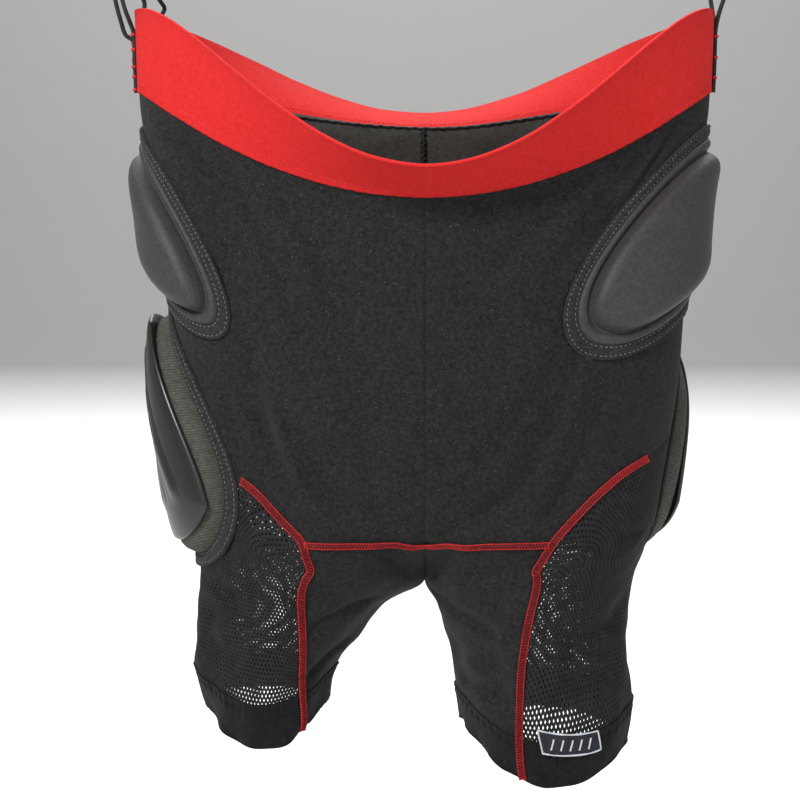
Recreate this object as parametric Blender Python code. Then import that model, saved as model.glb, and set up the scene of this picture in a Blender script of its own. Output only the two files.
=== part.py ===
"""Padded impact shorts for sport, hanging open from cord loops at the two corners of the waistband.

The garment is one surface, given by a table of rings from the waistband's top edge down to the leg
hems. Every cloth panel, seam, pad and shell takes its place from that surface. Left and right are as
seen from the front. Metres, +Z up, the front faces -Y, and the origin is midway between the places
where the two cord loops hang.
"""

import math

import bmesh
import bpy
import numpy as np
from mathutils import Vector

# Overall sizes of the hanging garment
WAIST_WIDTH = 0.360
BODY_DEPTH = 0.136
RISE = 0.354
LEG_LENGTH = 0.092
HANG_DROP = 0.033

# Cloth, band and trims
CLOTH_WALL = 0.0015
BAND_WALL = 0.0020
BAND_LIFT = 0.0003
HEM_WALL = 0.0022
GAP = 0.0003
FACET_ROOM = 0.0014
TAPE_REST = 0.0007
SEAM_TAPE_WIDTH = 0.0050
CROTCH_TAPE_WIDTH = 0.0040
SEAM_TAPE_THICK = 0.0009

# Hip pads: a moulded foam oval with a stitched binding round it
HIP_SIZE = {-1: (0.162, 0.088), 1: (0.178, 0.118)}
HIP_FOAM = 0.0125
BINDING_WIDTH = 0.0095
BINDING_THICK = 0.0015

# Thigh guards: a cushion with a stitched binding and a hard shell
THIGH_LENGTH = 0.172
THIGH_WIDTH = 0.108
CUSHION_THICK = 0.0110
SHELL_MARGIN = 0.0100
SHELL_THICK = 0.0026
SHELL_CROWN = 0.0050
SHELL_STANDOFF = 0.0006
OVAL_POINTS = 28
CAP_INSET = 0.030

# Hanging cords
CORD_DIAMETER = 0.0028
CORD_SIDES = 2
CORD_STEP = 0.0078
CORD_REST = 0.0002

# A small plain patch on the right leg
PATCH_LENGTH = 0.040
PATCH_HEIGHT = 0.014
PATCH_THICK = 0.0010

# Rings of the body. Heights are shares of RISE below the waist's corners, half widths are shares of
# half WAIST_WIDTH, bows are shares of half BODY_DEPTH. Fork is 1 where the half ring ends square on
# the centre plane and 0 where the leg's ring has closed. A low square makes the side flatter, and a
# high dip makes the middle of the front or back hang in a narrower curve.
BODY_COLUMNS = ("side", "front", "back", "inner", "left_half", "right_half", "front_bow", "back_bow",
                "fork", "square", "front_dip", "back_dip")
BODY_RINGS = (
    ("band_top", 0.000, 0.300, 0.141, 0.300, 1.000, 1.000, 1.440, 1.440, 1.00, 1.10, 1.6, 2.0),
    ("band_bottom", 0.141, 0.342, 0.184, 0.342, 0.990, 0.990, 0.930, 0.930, 1.00, 0.98, 1.0, 3.0),
    ("under_band", 0.204, 0.410, 0.258, 0.410, 0.976, 0.976, 0.930, 0.940, 1.00, 0.88, 1.0, 2.0),
    ("pad_top", 0.288, 0.489, 0.353, 0.489, 0.945, 0.937, 0.955, 0.985, 1.00, 0.78, 1.0, 1.4),
    ("pad_middle", 0.401, 0.579, 0.472, 0.579, 0.912, 0.911, 0.985, 1.030, 1.00, 0.76, 1.0, 1.0),
    ("hip", 0.528, 0.675, 0.593, 0.675, 0.872, 0.896, 1.000, 1.045, 1.00, 0.76, 1.0, 1.0),
    ("guard", 0.664, 0.768, 0.715, 0.780, 0.852, 0.874, 1.000, 1.045, 0.99, 0.78, 1.0, 1.0),
    ("seat", 0.805, 0.862, 0.839, 0.876, 0.814, 0.828, 0.970, 1.030, 0.86, 0.84, 1.0, 1.0),
    ("crotch_seam", 0.890, 0.929, 0.912, 0.932, 0.786, 0.798, 0.940, 1.010, 0.52, 0.92, 1.0, 1.0),
    ("fork", 0.945, 0.974, 0.960, 1.000, 0.778, 0.764, 0.910, 1.000, 0.00, 1.00, 1.0, 1.0),
)

# Rings of the legs, from the fork down. Heights are shares of LEG_LENGTH below the fork, inner and
# outer sides are shares of half WAIST_WIDTH.
LEG_COLUMNS = ("side", "front", "back", "inner", "outer_x", "inner_x", "front_bow", "back_bow")
LEFT_LEG_RINGS = (
    ("leg_upper", 0.030, 0.110, 0.060, 0.165, 0.785, 0.140, 0.880, 0.970),
    ("leg_lower", 0.340, 0.430, 0.360, 0.410, 0.784, 0.248, 0.840, 0.930),
    ("hem_top", 0.545, 0.770, 0.580, 0.560, 0.792, 0.300, 0.790, 0.880),
    ("hem_bottom", 0.770, 1.070, 0.810, 0.760, 0.762, 0.328, 0.720, 0.810),
)
RIGHT_LEG_RINGS = (
    ("leg_upper", 0.080, 0.150, 0.080, 0.185, 0.708, 0.050, 0.880, 0.970),
    ("leg_lower", 0.430, 0.510, 0.400, 0.445, 0.700, 0.088, 0.850, 0.930),
    ("hem_top", 0.790, 1.020, 0.680, 0.700, 0.722, 0.108, 0.810, 0.880),
    ("hem_bottom", 1.050, 1.315, 0.940, 0.930, 0.702, 0.132, 0.740, 0.810),
)

# Columns of the body panels, as shares of the way from the centre front to the centre back, and
# rows of the leg panels, as ring numbers
FRONT_COLUMNS = (0.0, 0.05, 0.10, 0.145, 0.19, 0.212, 0.24, 0.285, 0.335, 0.385, 0.425, 0.465, 0.5)
LEG_ROWS = (8, 8.35, 8.7, 9, 9.5, 10, 10.5, 11, 11.5, 12)
# Ring numbers that panels end on
BAND_TOP, BAND_BOTTOM, CROTCH_SEAM, FORK, HEM_TOP, HEM_BOTTOM = 0, 1, 8, 9, 12, 13

# Where the front leg seam runs on each leg: (ring, share of the way round from the inside leg)
LEG_SEAM = {
    -1: ((8, 0.190), (9, 0.248), (10, 0.232), (11, 0.190), (12, 0.162), (13, 0.150)),
    1: ((8, 0.190), (9, 0.248), (10, 0.236), (11, 0.212), (12, 0.196), (13, 0.198)),
}
# How far round the seam along the mesh panel's top edge begins
SEAM_START = {-1: 0.248, 1: 0.345}
# The top edge of the mesh panel, from the leg seam to the side: (share round, ring)
MESH_TOP = ((0.190, 8.00), (0.205, 7.70), (0.235, 7.15), (0.280, 6.85), (0.350, 6.70), (0.500, 6.45))

# Soft folds of the cloth: (side, start share, start ring, end share, end ring, width, depth)
FOLDS = (
    (-1, 0.300, 1.2, 0.210, 3.6, 0.012, 0.0020),
    (-1, 0.235, 4.8, 0.212, 6.4, 0.009, 0.0032),
    (-1, 0.160, 6.0, 0.115, 7.2, 0.010, 0.0034),
    (1, 0.330, 1.2, 0.205, 3.0, 0.008, 0.0030),
    (1, 0.270, 1.3, 0.150, 3.4, 0.010, 0.0028),
    (1, 0.230, 4.3, 0.120, 6.2, 0.012, 0.0036),
    (1, 0.190, 5.6, 0.090, 7.2, 0.011, 0.0040),
    (-1, 0.300, 9.6, 0.440, 10.7, 0.013, 0.0050),
    (-1, 0.270, 11.6, 0.420, 11.0, 0.011, 0.0040),
    (1, 0.290, 10.9, 0.440, 10.3, 0.013, 0.0050),
    (1, 0.020, 9.6, 0.190, 9.9, 0.009, 0.0030),
    (1, 0.020, 11.0, 0.180, 10.9, 0.010, 0.0030),
    (-1, 0.620, 4.5, 0.800, 7.5, 0.014, 0.0036),
    (1, 0.600, 4.8, 0.780, 7.6, 0.014, 0.0036),
)
FOLD_RING_STEP = 0.040
FOLD_ROUND = 0.480

# The hanging cords. Each is sewn to the outside of the waistband at both ends, at places given as
# (share, ring), and runs free between them through centre points chosen by hand, in metres.
CORDS = (
    ("cord_left_outer", -1, ((0.5, 1.00), (0.5, 0.80), (0.5, 0.60), (0.5, 0.40)), (
        (-0.1862, -0.0008, -0.0480), (-0.1902, -0.0024, -0.0360), (-0.1932, -0.0028, -0.0240),
        (-0.1952, -0.0020, -0.0120), (-0.1960, 0.0000, -0.0050), (-0.1935, 0.0030, 0.0005),
        (-0.1890, 0.0070, 0.0010), (-0.1846, 0.0110, -0.0060), (-0.1810, 0.0160, -0.0150),
        (-0.1775, 0.0215, -0.0240)), ((0.55, 0.12), (0.55, 0.30), (0.55, 0.55))),
    ("cord_left_inner", -1, ((0.48, 0.72), (0.48, 0.52), (0.48, 0.32)), (
        (-0.1852, -0.0092, -0.0350), (-0.1884, -0.0084, -0.0240), (-0.1912, -0.0074, -0.0130),
        (-0.1922, -0.0066, -0.0050), (-0.1898, -0.0040, 0.0010), (-0.1850, 0.0020, 0.0012),
        (-0.1786, 0.0120, -0.0050), (-0.1724, 0.0260, -0.0150), (-0.1670, 0.0410, -0.0240)),
        ((0.59, 0.06), (0.59, 0.25))),
    ("cord_right", 1, ((0.48, 1.00), (0.48, 0.76), (0.48, 0.52), (0.48, 0.30)), (
        (0.1826, -0.0100, -0.0350), (0.1862, -0.0076, -0.0250), (0.1900, -0.0040, -0.0130),
        (0.1908, -0.0010, -0.0050), (0.1880, 0.0040, 0.0008), (0.1836, 0.0080, 0.0004),
        (0.1812, 0.0110, -0.0080), (0.1806, 0.0140, -0.0190)),
        ((0.52, 0.10), (0.52, 0.30), (0.52, 0.55))),
)

BLACK = (0.018, 0.018, 0.019, 1)
RED = (0.78, 0.035, 0.030, 1)
SEAM_RED = (0.62, 0.030, 0.035, 1)
GREY = (0.085, 0.083, 0.076, 1)


def ring_table(side):
    """Every ring of one half as an array: heights, sides, bows, fork, squareness and dips, in metres."""
    half = WAIST_WIDTH / 2
    bow = BODY_DEPTH / 2
    heights = ("side", "front", "back", "inner")
    rings = []
    for row in BODY_RINGS:
        r = dict(zip(BODY_COLUMNS, row[1:]))
        outer = half * r["left_half" if side < 0 else "right_half"]
        rings.append([*(-HANG_DROP - RISE * r[name] for name in heights), outer, 0.0,
                      bow * r["front_bow"], bow * r["back_bow"], r["fork"], r["square"],
                      r["front_dip"], r["back_dip"]])
    for row in LEFT_LEG_RINGS if side < 0 else RIGHT_LEG_RINGS:
        r = dict(zip(LEG_COLUMNS, row[1:]))
        fork_height = -HANG_DROP - RISE
        rings.append([*(fork_height - LEG_LENGTH * r[name] for name in heights), half * r["outer_x"],
                      half * r["inner_x"], bow * r["front_bow"], bow * r["back_bow"], 0, 1, 1, 1])
    return np.array(rings)


RINGS = {side: ring_table(side) for side in (-1, 1)}


def between_rings(side, ring):
    """The ring columns at any ring number, on a smooth curve through the table."""
    table = RINGS[side]
    last = len(table) - 1
    ring = np.clip(ring, 0, last)
    low = np.minimum(ring.astype(int), last - 1)
    t = (ring - low)[:, None]
    p0 = table[np.maximum(low - 1, 0)]
    p1, p2 = table[low], table[low + 1]
    p3 = table[np.minimum(low + 2, last)]
    return 0.5 * (2 * p1 + (p2 - p0) * t + (2 * p0 - 5 * p1 + 4 * p2 - p3) * t**2
                  + (3 * p1 - p0 - 3 * p2 + p3) * t**3)


def bare_surface(side, share, ring):
    """Points of the garment's outer face without its folds."""
    c = between_rings(side, ring)
    z_side, z_front, z_back, z_inner, outer, inner, front, back, fork, square, front_dip, back_dip = c.T
    start = np.clip(fork, 0, 1) * math.pi / 2
    angle = start + share * (2 * math.pi - 2 * start)
    cosine, sine = np.cos(angle), np.sin(angle)
    reach = (outer - inner) / (1 + np.cos(start))
    x = outer - reach - reach * cosine
    y = np.where(sine > 0, -front, back) * np.abs(sine) ** square
    end = np.where(cosine < 0, z_side, z_inner)
    middle = np.where(sine > 0, z_front, z_back)
    dip = np.where(sine > 0, front_dip, back_dip)
    z = end + (middle - end) * (1 - cosine**2) ** dip
    return np.stack([side * x, y, z], axis=1)


def normals_of(surface, side, share, ring, step=1e-3):
    """Outward unit normals of a surface, from small steps along it."""
    low_ring = np.maximum(ring - step * 10, 0)
    high_ring = np.minimum(ring + step * 10, HEM_BOTTOM)
    along = surface(side, share + step, ring) - surface(side, share - step, ring)
    down = surface(side, share, high_ring) - surface(side, share, low_ring)
    normal = np.cross(down, along) * side
    return normal / np.maximum(np.linalg.norm(normal, axis=1), 1e-12)[:, None]


def fold_depth(side, share, ring):
    """How far the folds press the cloth in."""
    depth = np.zeros(len(share))
    for fold_side, share0, ring0, share1, ring1, width, deep in FOLDS:
        if fold_side != side:
            continue
        run = np.array([(share1 - share0) * FOLD_ROUND, (ring1 - ring0) * FOLD_RING_STEP])
        at = np.stack([(share - share0) * FOLD_ROUND, (ring - ring0) * FOLD_RING_STEP], axis=1)
        t = at @ run / (run @ run)
        off = np.linalg.norm(at - np.clip(t, 0, 1)[:, None] * run, axis=1)
        ends = np.clip(np.minimum(t, 1 - t) * 4 + 0.5, 0, 1)
        depth += deep * ends * np.exp(-((off / width) ** 2))
    return depth


def surface(side, share, ring, lift=0.0):
    """Points of the garment's outer face with its folds, raised by lift along the normal."""
    share, ring = np.atleast_1d(share).astype(float), np.atleast_1d(ring).astype(float)
    normal = normals_of(bare_surface, side, share, ring)
    points = bare_surface(side, share, ring) + normal * (lift - fold_depth(side, share, ring))[:, None]
    points[:, 0] = side * np.maximum(side * points[:, 0], GAP / 2)
    return points


def curve_value(table, at):
    """Height of a smooth curve through (position, value) pairs."""
    places, values = np.array(table).T
    i = np.clip(np.searchsorted(places, at) - 1, 0, len(places) - 2)
    slopes = np.gradient(values, places)
    step = places[i + 1] - places[i]
    t = np.clip((at - places[i]) / step, 0, 1)
    return ((2 * t**3 - 3 * t**2 + 1) * values[i] + (t**3 - 2 * t**2 + t) * step * slopes[i]
            + (3 * t**2 - 2 * t**3) * values[i + 1] + (t**3 - t**2) * step * slopes[i + 1])


def leg_seam_share(side, ring):
    return curve_value(LEG_SEAM[side], np.maximum(ring, CROTCH_SEAM))


def panel_bottom(share):
    """Ring number where the body panels end, from the centre to the side, the same front and back."""
    from_centre = np.minimum(share, 1 - share)
    corner = MESH_TOP[0][0]
    return np.where(from_centre <= corner, CROTCH_SEAM, curve_value(MESH_TOP, np.maximum(from_centre, corner)))


def material(name, colour, roughness):
    made = bpy.data.materials.get(name)
    if made is None:
        made = bpy.data.materials.new(name)
        made.use_nodes = True
        shader = made.node_tree.nodes["Principled BSDF"]
        shader.inputs["Base Color"].default_value = colour
        shader.inputs["Roughness"].default_value = roughness
        shader.inputs["Metallic"].default_value = 0
    return made


def add_object(name, bm, paint):
    """A finished bmesh as a named object."""
    bmesh.ops.recalc_face_normals(bm, faces=bm.faces)
    mesh = bpy.data.meshes.new(name)
    bm.to_mesh(mesh)
    bm.free()
    mesh.materials.append(paint)
    mesh.shade_smooth()
    obj = bpy.data.objects.new(name, mesh)
    bpy.context.scene.collection.objects.link(obj)
    return obj


def sheet(bm, points, columns):
    """Adds a grid of points, given row by row, as triangles and returns its vertices. Each square is
    split along its shorter diagonal."""
    verts = [bm.verts.new(p) for p in points]
    for start in range(0, len(verts) - columns, columns):
        for i in range(start, start + columns - 1):
            a, b, c, d = verts[i], verts[i + 1], verts[i + columns + 1], verts[i + columns]
            if (a.co - c.co).length < (b.co - d.co).length:
                a, b, c, d = b, c, d, a
            bm.faces.new((a, b, d))
            bm.faces.new((b, c, d))
    return verts


def close_wall(bm, walls):
    """Makes a sheet solid. Its border is drawn in by half the seam gap, and walls holds the step from
    each vertex of the outer face to its mate on the inner face."""
    moves = {}
    border = [edge for edge in bm.edges if edge.is_boundary]
    for edge in border:
        middle = (edge.verts[0].co + edge.verts[1].co) / 2
        along = (edge.verts[1].co - edge.verts[0].co).normalized()
        inward = edge.link_faces[0].calc_center_median() - middle
        inward = (inward - along * inward.dot(along)).normalized()
        for vert in edge.verts:
            moves.setdefault(vert, []).append(inward)
    for vert, inwards in moves.items():
        vert.co += sum(inwards, Vector()) / len(inwards) * GAP * 0.7
    faces = list(bm.faces)
    mates = {vert: bm.verts.new(vert.co + step) for vert, step in walls.items()}
    for face in faces:
        bm.faces.new([mates[vert] for vert in reversed(face.verts)])
    for edge in border:
        a, b = edge.verts
        bm.faces.new((a, b, mates[b], mates[a]))


def sheet_on_surface(bm, side, share, ring, wall, walls):
    """Adds a grid of cloth on the surface and notes each vertex's step through the wall."""
    columns = share.shape[1]
    outer = surface(side, share.ravel(), ring.ravel())
    inner = surface(side, share.ravel(), ring.ravel(), -wall)
    for vert, a, b in zip(sheet(bm, outer, columns), outer, inner):
        walls[vert] = Vector(b - a)


def cloth_panel(name, side, share, ring, paint, wall=CLOTH_WALL):
    """A panel of cloth from a grid of places on the surface, closed by its wall."""
    bm = bmesh.new()
    walls = {}
    sheet_on_surface(bm, side, share, ring, wall, walls)
    close_wall(bm, walls)
    return add_object(name, bm, paint)


def body_panels(side, word, cloth):
    """Front and back body panels, from the waistband to the crotch seam and the mesh."""
    columns = np.array(FRONT_COLUMNS)
    for place, shares, rows in (("front", columns, 11), ("back", 1 - columns[::-1], 9)):
        down = np.linspace(0, 1, rows + 1)[:, None]
        ring = BAND_BOTTOM + (panel_bottom(shares)[None, :] - BAND_BOTTOM) * down
        share = np.repeat(shares[None, :], rows + 1, axis=0)
        cloth_panel(f"{place}_panel_{word}", side, share, ring, cloth)


def leg_columns(side, ring):
    """Shares round the leg at a ring: across the inside leg panel's front, then across the mesh."""
    seam = float(leg_seam_share(side, np.array([float(ring)]))[0])
    corner = MESH_TOP[0][0]
    columns = np.array(FRONT_COLUMNS)
    inside = columns[columns <= corner] / corner * seam
    outer = columns[columns >= corner]
    outer = np.concatenate([outer, 1 - outer[-2::-1]])
    return inside, seam + (outer - corner) / (1 - 2 * corner) * (1 - 2 * seam)


def mesh_panel(side, word, cloth):
    """The panel of mesh round the outside of the thigh."""
    top = panel_bottom(leg_columns(side, CROTCH_SEAM)[1])
    down = (np.array(LEG_ROWS) - CROTCH_SEAM) / (HEM_TOP - CROTCH_SEAM)
    share = np.array([leg_columns(side, ring)[1] for ring in LEG_ROWS])
    cloth_panel(f"mesh_panel_{word}", side, share, top + (HEM_TOP - top) * down[:, None], cloth)


def inner_leg(side, word, cloth):
    """The inside leg panel: two sheets that meet on the inside leg below the fork."""
    share = np.array([leg_columns(side, ring)[0] for ring in LEG_ROWS])
    ring = np.repeat(np.array(LEG_ROWS)[:, None], share.shape[1], axis=1)
    bm = bmesh.new()
    walls = {}
    sheet_on_surface(bm, side, share, ring, CLOTH_WALL, walls)
    sheet_on_surface(bm, side, 1 - share, ring, CLOTH_WALL, walls)
    bmesh.ops.remove_doubles(bm, verts=bm.verts, dist=1e-5)
    close_wall(bm, {vert: step for vert, step in walls.items() if vert.is_valid})
    add_object(f"inner_leg_{word}", bm, cloth)


def ring_strip(name, places, wall, lift, paint):
    """A closed loop of band: places is a list of columns, each (side, share, ring list)."""
    bm = bmesh.new()
    loops = []
    for side, share, rings in places:
        share_list = np.full(len(rings), share)
        outer = surface(side, share_list, np.array(rings), lift)
        inner = surface(side, share_list, np.array(rings), lift - wall)
        loops.append([bm.verts.new(p) for p in outer] + [bm.verts.new(p) for p in inner[::-1]])
    for a, b in zip(loops, loops[1:] + loops[:1]):
        for i in range(len(a)):
            j = (i + 1) % len(a)
            bm.faces.new((a[i], a[j], b[j], b[i]))
    return add_object(name, bm, paint)


def waistband(paint):
    """The elastic band: one loop that dips and leans out at the front and back."""
    shares = (0.0, 0.06, 0.12, 0.18, 0.24, 0.30, 0.36, 0.41, 0.45, 0.48, 0.5,
              0.52, 0.55, 0.59, 0.64, 0.70, 0.76, 0.82, 0.88, 0.94, 1.0)
    trim = 0.012
    rings = (BAND_TOP, 0.33, 0.67, BAND_BOTTOM - trim)
    places = [(1, s, rings) for s in shares] + [(-1, s, rings) for s in shares[-2:0:-1]]
    ring_strip("waistband", places, BAND_WALL, BAND_LIFT, paint)


def leg_hem(side, word, paint):
    """The doubled band of cloth round a leg opening."""
    trim = 0.03
    rings = (HEM_TOP + trim, HEM_BOTTOM)
    inside, outer = leg_columns(side, HEM_TOP)
    shares = [*inside, *outer[1:], *(1 - inside[-2:0:-1])]
    places = [(side, s, rings) for s in shares]
    ring_strip(f"leg_hem_{word}", places, HEM_WALL, BAND_LIFT, paint)


def tape(name, places, width, paint):
    """A flat band of thread that follows places on the surface, each (side, share, ring)."""
    middle, normal = [], []
    for side, share, ring in places:
        place = np.array([share]), np.array([ring])
        middle.append(surface(side, *place)[0])
        normal.append(normals_of(surface, side, *place)[0])
    middle, normal = np.array(middle), np.array(normal)
    across = np.cross(normal, np.gradient(middle, axis=0))
    across /= np.linalg.norm(across, axis=1)[:, None]
    low = TAPE_REST
    bm = bmesh.new()
    loops = []
    for p, n, a in zip(middle, normal, across):
        corners = [p + n * (low + h) + a * w * width / 2
                   for h, w in ((0, -1), (0, 1), (SEAM_TAPE_THICK, 1), (SEAM_TAPE_THICK, -1))]
        loops.append([bm.verts.new(c) for c in corners])
    for a, b in zip(loops, loops[1:]):
        for i in range(4):
            bm.faces.new((a[i], a[(i + 1) % 4], b[(i + 1) % 4], b[i]))
    bm.faces.new(loops[0])
    bm.faces.new(loops[-1])
    return add_object(name, bm, paint)


def leg_seam(side, word, paint):
    """The red flat seam along the front edge of the mesh panel, from the thigh guard to the hem."""
    shares = np.linspace(SEAM_START[side], MESH_TOP[0][0], 13)
    upper = [(side, s, r) for s, r in zip(shares, panel_bottom(shares))]
    rings = np.linspace(8.25, HEM_BOTTOM - 0.15, 16)
    lower = [(side, s, r) for s, r in zip(leg_seam_share(side, rings), rings)]
    tape(f"leg_seam_{word}", upper + lower, SEAM_TAPE_WIDTH, paint)


def crotch_seam(paint):
    """The red flat seam across below the front panels, from one leg seam to the other."""
    shares = np.linspace(0.006, MESH_TOP[0][0] - 0.0064, 11)
    places = [(-1, s, CROTCH_SEAM) for s in shares[::-1]] + [(1, s, CROTCH_SEAM) for s in shares]
    tape("crotch_seam", places, CROTCH_TAPE_WIDTH, paint)


def flat_places(side, forward, down):
    """Turns flat pattern places into places on the surface: forward is the distance round from the
    side line towards the front, down is the distance below the waist's corner along the side."""
    table_rings = np.linspace(0, HEM_BOTTOM, 131)
    side_height = bare_surface(side, np.full(131, 0.5), table_rings)[:, 2]
    ring = np.interp(down, -HANG_DROP - side_height, table_rings)
    shares = np.linspace(0.04, 0.96, 93)
    middle = len(shares) // 2
    out = np.empty(len(ring))
    for i, (r, f) in enumerate(zip(ring, forward)):
        points = bare_surface(side, shares, np.full(len(shares), r))
        steps = np.linalg.norm(np.diff(points, axis=0), axis=1)
        length = np.concatenate([[0], np.cumsum(steps)])
        out[i] = np.interp(length[middle] - f, length, shares)
    return out, ring


def oval(centre, length, width, tilt, taper, inset=0.0):
    """An egg-shaped outline on the flat pattern, its long axis tilted down towards the front. Down to
    CAP_INSET the outline is drawn in evenly, and further in it shrinks towards the centre."""
    angle = np.arange(OVAL_POINTS) * 2 * math.pi / OVAL_POINTS
    even = min(inset, CAP_INSET)
    shrink = 1 - (inset - even) / (width / 2 - CAP_INSET)
    long = (length / 2 - even) * np.cos(angle) * shrink
    wide = (width / 2 - even) * np.sin(angle) * (1 - taper * np.cos(angle)) * shrink
    forward = centre[0] + long * math.cos(tilt) + wide * math.sin(tilt)
    down = centre[1] + long * math.sin(tilt) - wide * math.cos(tilt)
    return forward, down


def oval_rings(bm, side, shape, profile):
    """Rings of vertices over the cloth, one for each (inset from the outline, height) of a profile."""
    rings = []
    for inset, height in profile:
        share, ring = flat_places(side, *oval(*shape, inset))
        rings.append([bm.verts.new(p) for p in surface(side, share, ring, height)])
    return rings


def join_rings(bm, rings):
    for a, b in zip(rings, rings[1:]):
        for i in range(len(a)):
            j = (i + 1) % len(a)
            bm.faces.new((a[i], a[j], b[j], b[i]))


def layered_oval(name, side, shape, top, under, paint):
    """A solid over the cloth: top and under are profiles that start at the same outline."""
    bm = bmesh.new()
    rings = oval_rings(bm, side, shape, [*under[::-1], *top])
    join_rings(bm, rings)
    share, ring = flat_places(side, np.array([shape[0][0]]), np.array([shape[0][1]]))
    for border, height in ((rings[0], under[-1][1]), (rings[-1], top[-1][1])):
        centre = bm.verts.new(surface(side, share, ring, height)[0])
        for i in range(len(border)):
            bm.faces.new((border[i], border[(i + 1) % len(border)], centre))
    return add_object(name, bm, paint)


def binding(name, side, shape, paint):
    """The stitched strip round a pad, flat on the cloth."""
    low = GAP + FACET_ROOM
    high = low + BINDING_THICK
    bm = bmesh.new()
    rings = oval_rings(bm, side, shape, [(0, low), (0, high), (BINDING_WIDTH, high), (BINDING_WIDTH, low)])
    join_rings(bm, rings + rings[:1])
    return add_object(name, bm, paint)


# Where each pad sits on the flat pattern: centre (distance forward of the side line, distance down
# the side), and the tilt of its long axis
HIP_PLACE = {-1: ((0.010, 0.127), math.radians(41)), 1: ((0.035, 0.130), math.radians(18))}
THIGH_PLACE = {-1: ((0.002, 0.260), math.radians(70)), 1: ((-0.050, 0.259), math.radians(78))}


def hip_pad(side, word, foam, trim):
    """A moulded foam pad: a thin flange, a groove, and a crowned oval."""
    centre, tilt = HIP_PLACE[side]
    shape = (centre, *HIP_SIZE[side], tilt, -0.10)
    binding(f"hip_binding_{word}", side, shape, trim)
    low = GAP + FACET_ROOM
    inner = BINDING_WIDTH + GAP * 2
    crown = low + HIP_FOAM
    middle = (CAP_INSET + HIP_SIZE[side][1] / 2) / 2
    top = [(inner, low + 0.0036), (inner + 0.005, low + 0.0046), (inner + 0.0075, low + 0.0036),
           (inner + 0.0110, low + HIP_FOAM * 0.74), (inner + 0.017, low + HIP_FOAM * 0.95),
           (CAP_INSET, crown), (middle, crown)]
    under = [(inner, low), (inner + 0.006, low + 0.0016), (CAP_INSET, low + 0.0044), (middle, low + 0.0050)]
    layered_oval(f"hip_pad_{word}", side, shape, top, under, foam)


def thigh_guard(side, word, foam, trim, hard):
    """A thigh guard: cushion, stitched binding, and a hard ribbed shell."""
    centre, tilt = THIGH_PLACE[side]
    shape = (centre, THIGH_LENGTH, THIGH_WIDTH, tilt, -0.13)
    binding(f"thigh_binding_{word}", side, shape, trim)
    low = GAP + FACET_ROOM
    inner = BINDING_WIDTH + GAP * 2
    rim = low + CUSHION_THICK
    middle = (CAP_INSET + THIGH_WIDTH / 2) / 2
    top = [(inner, low + 0.0035), (inner + 0.004, low + CUSHION_THICK * 0.82), (inner + 0.008, rim),
           (inner + 0.013, rim), (CAP_INSET, rim - 0.003), (middle, rim - 0.004)]
    under = [(inner, low), (inner + 0.008, low + 0.0016), (CAP_INSET, low + 0.0030), (middle, low + 0.0036)]
    layered_oval(f"thigh_cushion_{word}", side, shape, top, under, foam)
    under_shell = rim + SHELL_STANDOFF
    edge = inner + SHELL_MARGIN
    skin = under_shell + SHELL_THICK
    top = [(edge, skin - 0.0006), (edge + 0.003, skin + 0.0006), (CAP_INSET, skin + SHELL_CROWN * 0.55),
           (CAP_INSET + 0.003, skin + SHELL_CROWN * 0.40), (middle, skin + SHELL_CROWN)]
    under = [(edge, under_shell), (CAP_INSET, under_shell), (middle, under_shell)]
    layered_oval(f"thigh_shell_{word}", side, shape, top, under, hard)


def patch(side, paint):
    """A small plain patch low on the front of the mesh panel."""
    columns, rows = 7, 3
    centre_share, centre_ring = 0.285, 12.18
    low = TAPE_REST
    across = np.linspace(-0.5, 0.5, columns)
    bm = bmesh.new()
    layers = []
    for height in (low, low + PATCH_THICK):
        share = centre_share + across[None, :] * PATCH_LENGTH / FOLD_ROUND + np.zeros((rows, 1))
        ring = centre_ring + np.linspace(-0.5, 0.5, rows)[:, None] * PATCH_HEIGHT / 0.026 + across[None, :] * 0.20
        points = surface(side, share.ravel(), ring.ravel(), height)
        layers.append([bm.verts.new(p) for p in points])
    for layer in layers:
        for r in range(rows - 1):
            for c in range(columns - 1):
                i = r * columns + c
                bm.faces.new((layer[i], layer[i + 1], layer[i + columns + 1], layer[i + columns]))
    border = [c for c in range(columns)] + [r * columns + columns - 1 for r in range(1, rows)]
    border += [(rows - 1) * columns + c for c in range(columns - 2, -1, -1)]
    border += [r * columns for r in range(rows - 2, 0, -1)]
    for a, b in zip(border, border[1:] + border[:1]):
        bm.faces.new((layers[0][a], layers[0][b], layers[1][b], layers[1][a]))
    add_object("leg_patch", bm, paint)


def smooth_route(route):
    """Evenly spaced points on a smooth curve through the route's own points."""
    p = np.array([route[0], *route, route[-1]])
    fine = []
    for i in range(len(route) - 1):
        a, b, c, d = p[i : i + 4]
        for t in np.arange(12) / 12:
            fine.append(0.5 * (2 * b + (c - a) * t + (2 * a - 5 * b + 4 * c - d) * t**2
                               + (3 * b - a - 3 * c + d) * t**3))
    fine = np.array([*fine, route[-1]])
    length = np.concatenate([[0], np.cumsum(np.linalg.norm(np.diff(fine, axis=0), axis=1))])
    places = np.linspace(0, length[-1], round(length[-1] / CORD_STEP) + 1)
    return np.stack([np.interp(places, length, fine[:, k]) for k in range(3)], axis=1)


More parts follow.
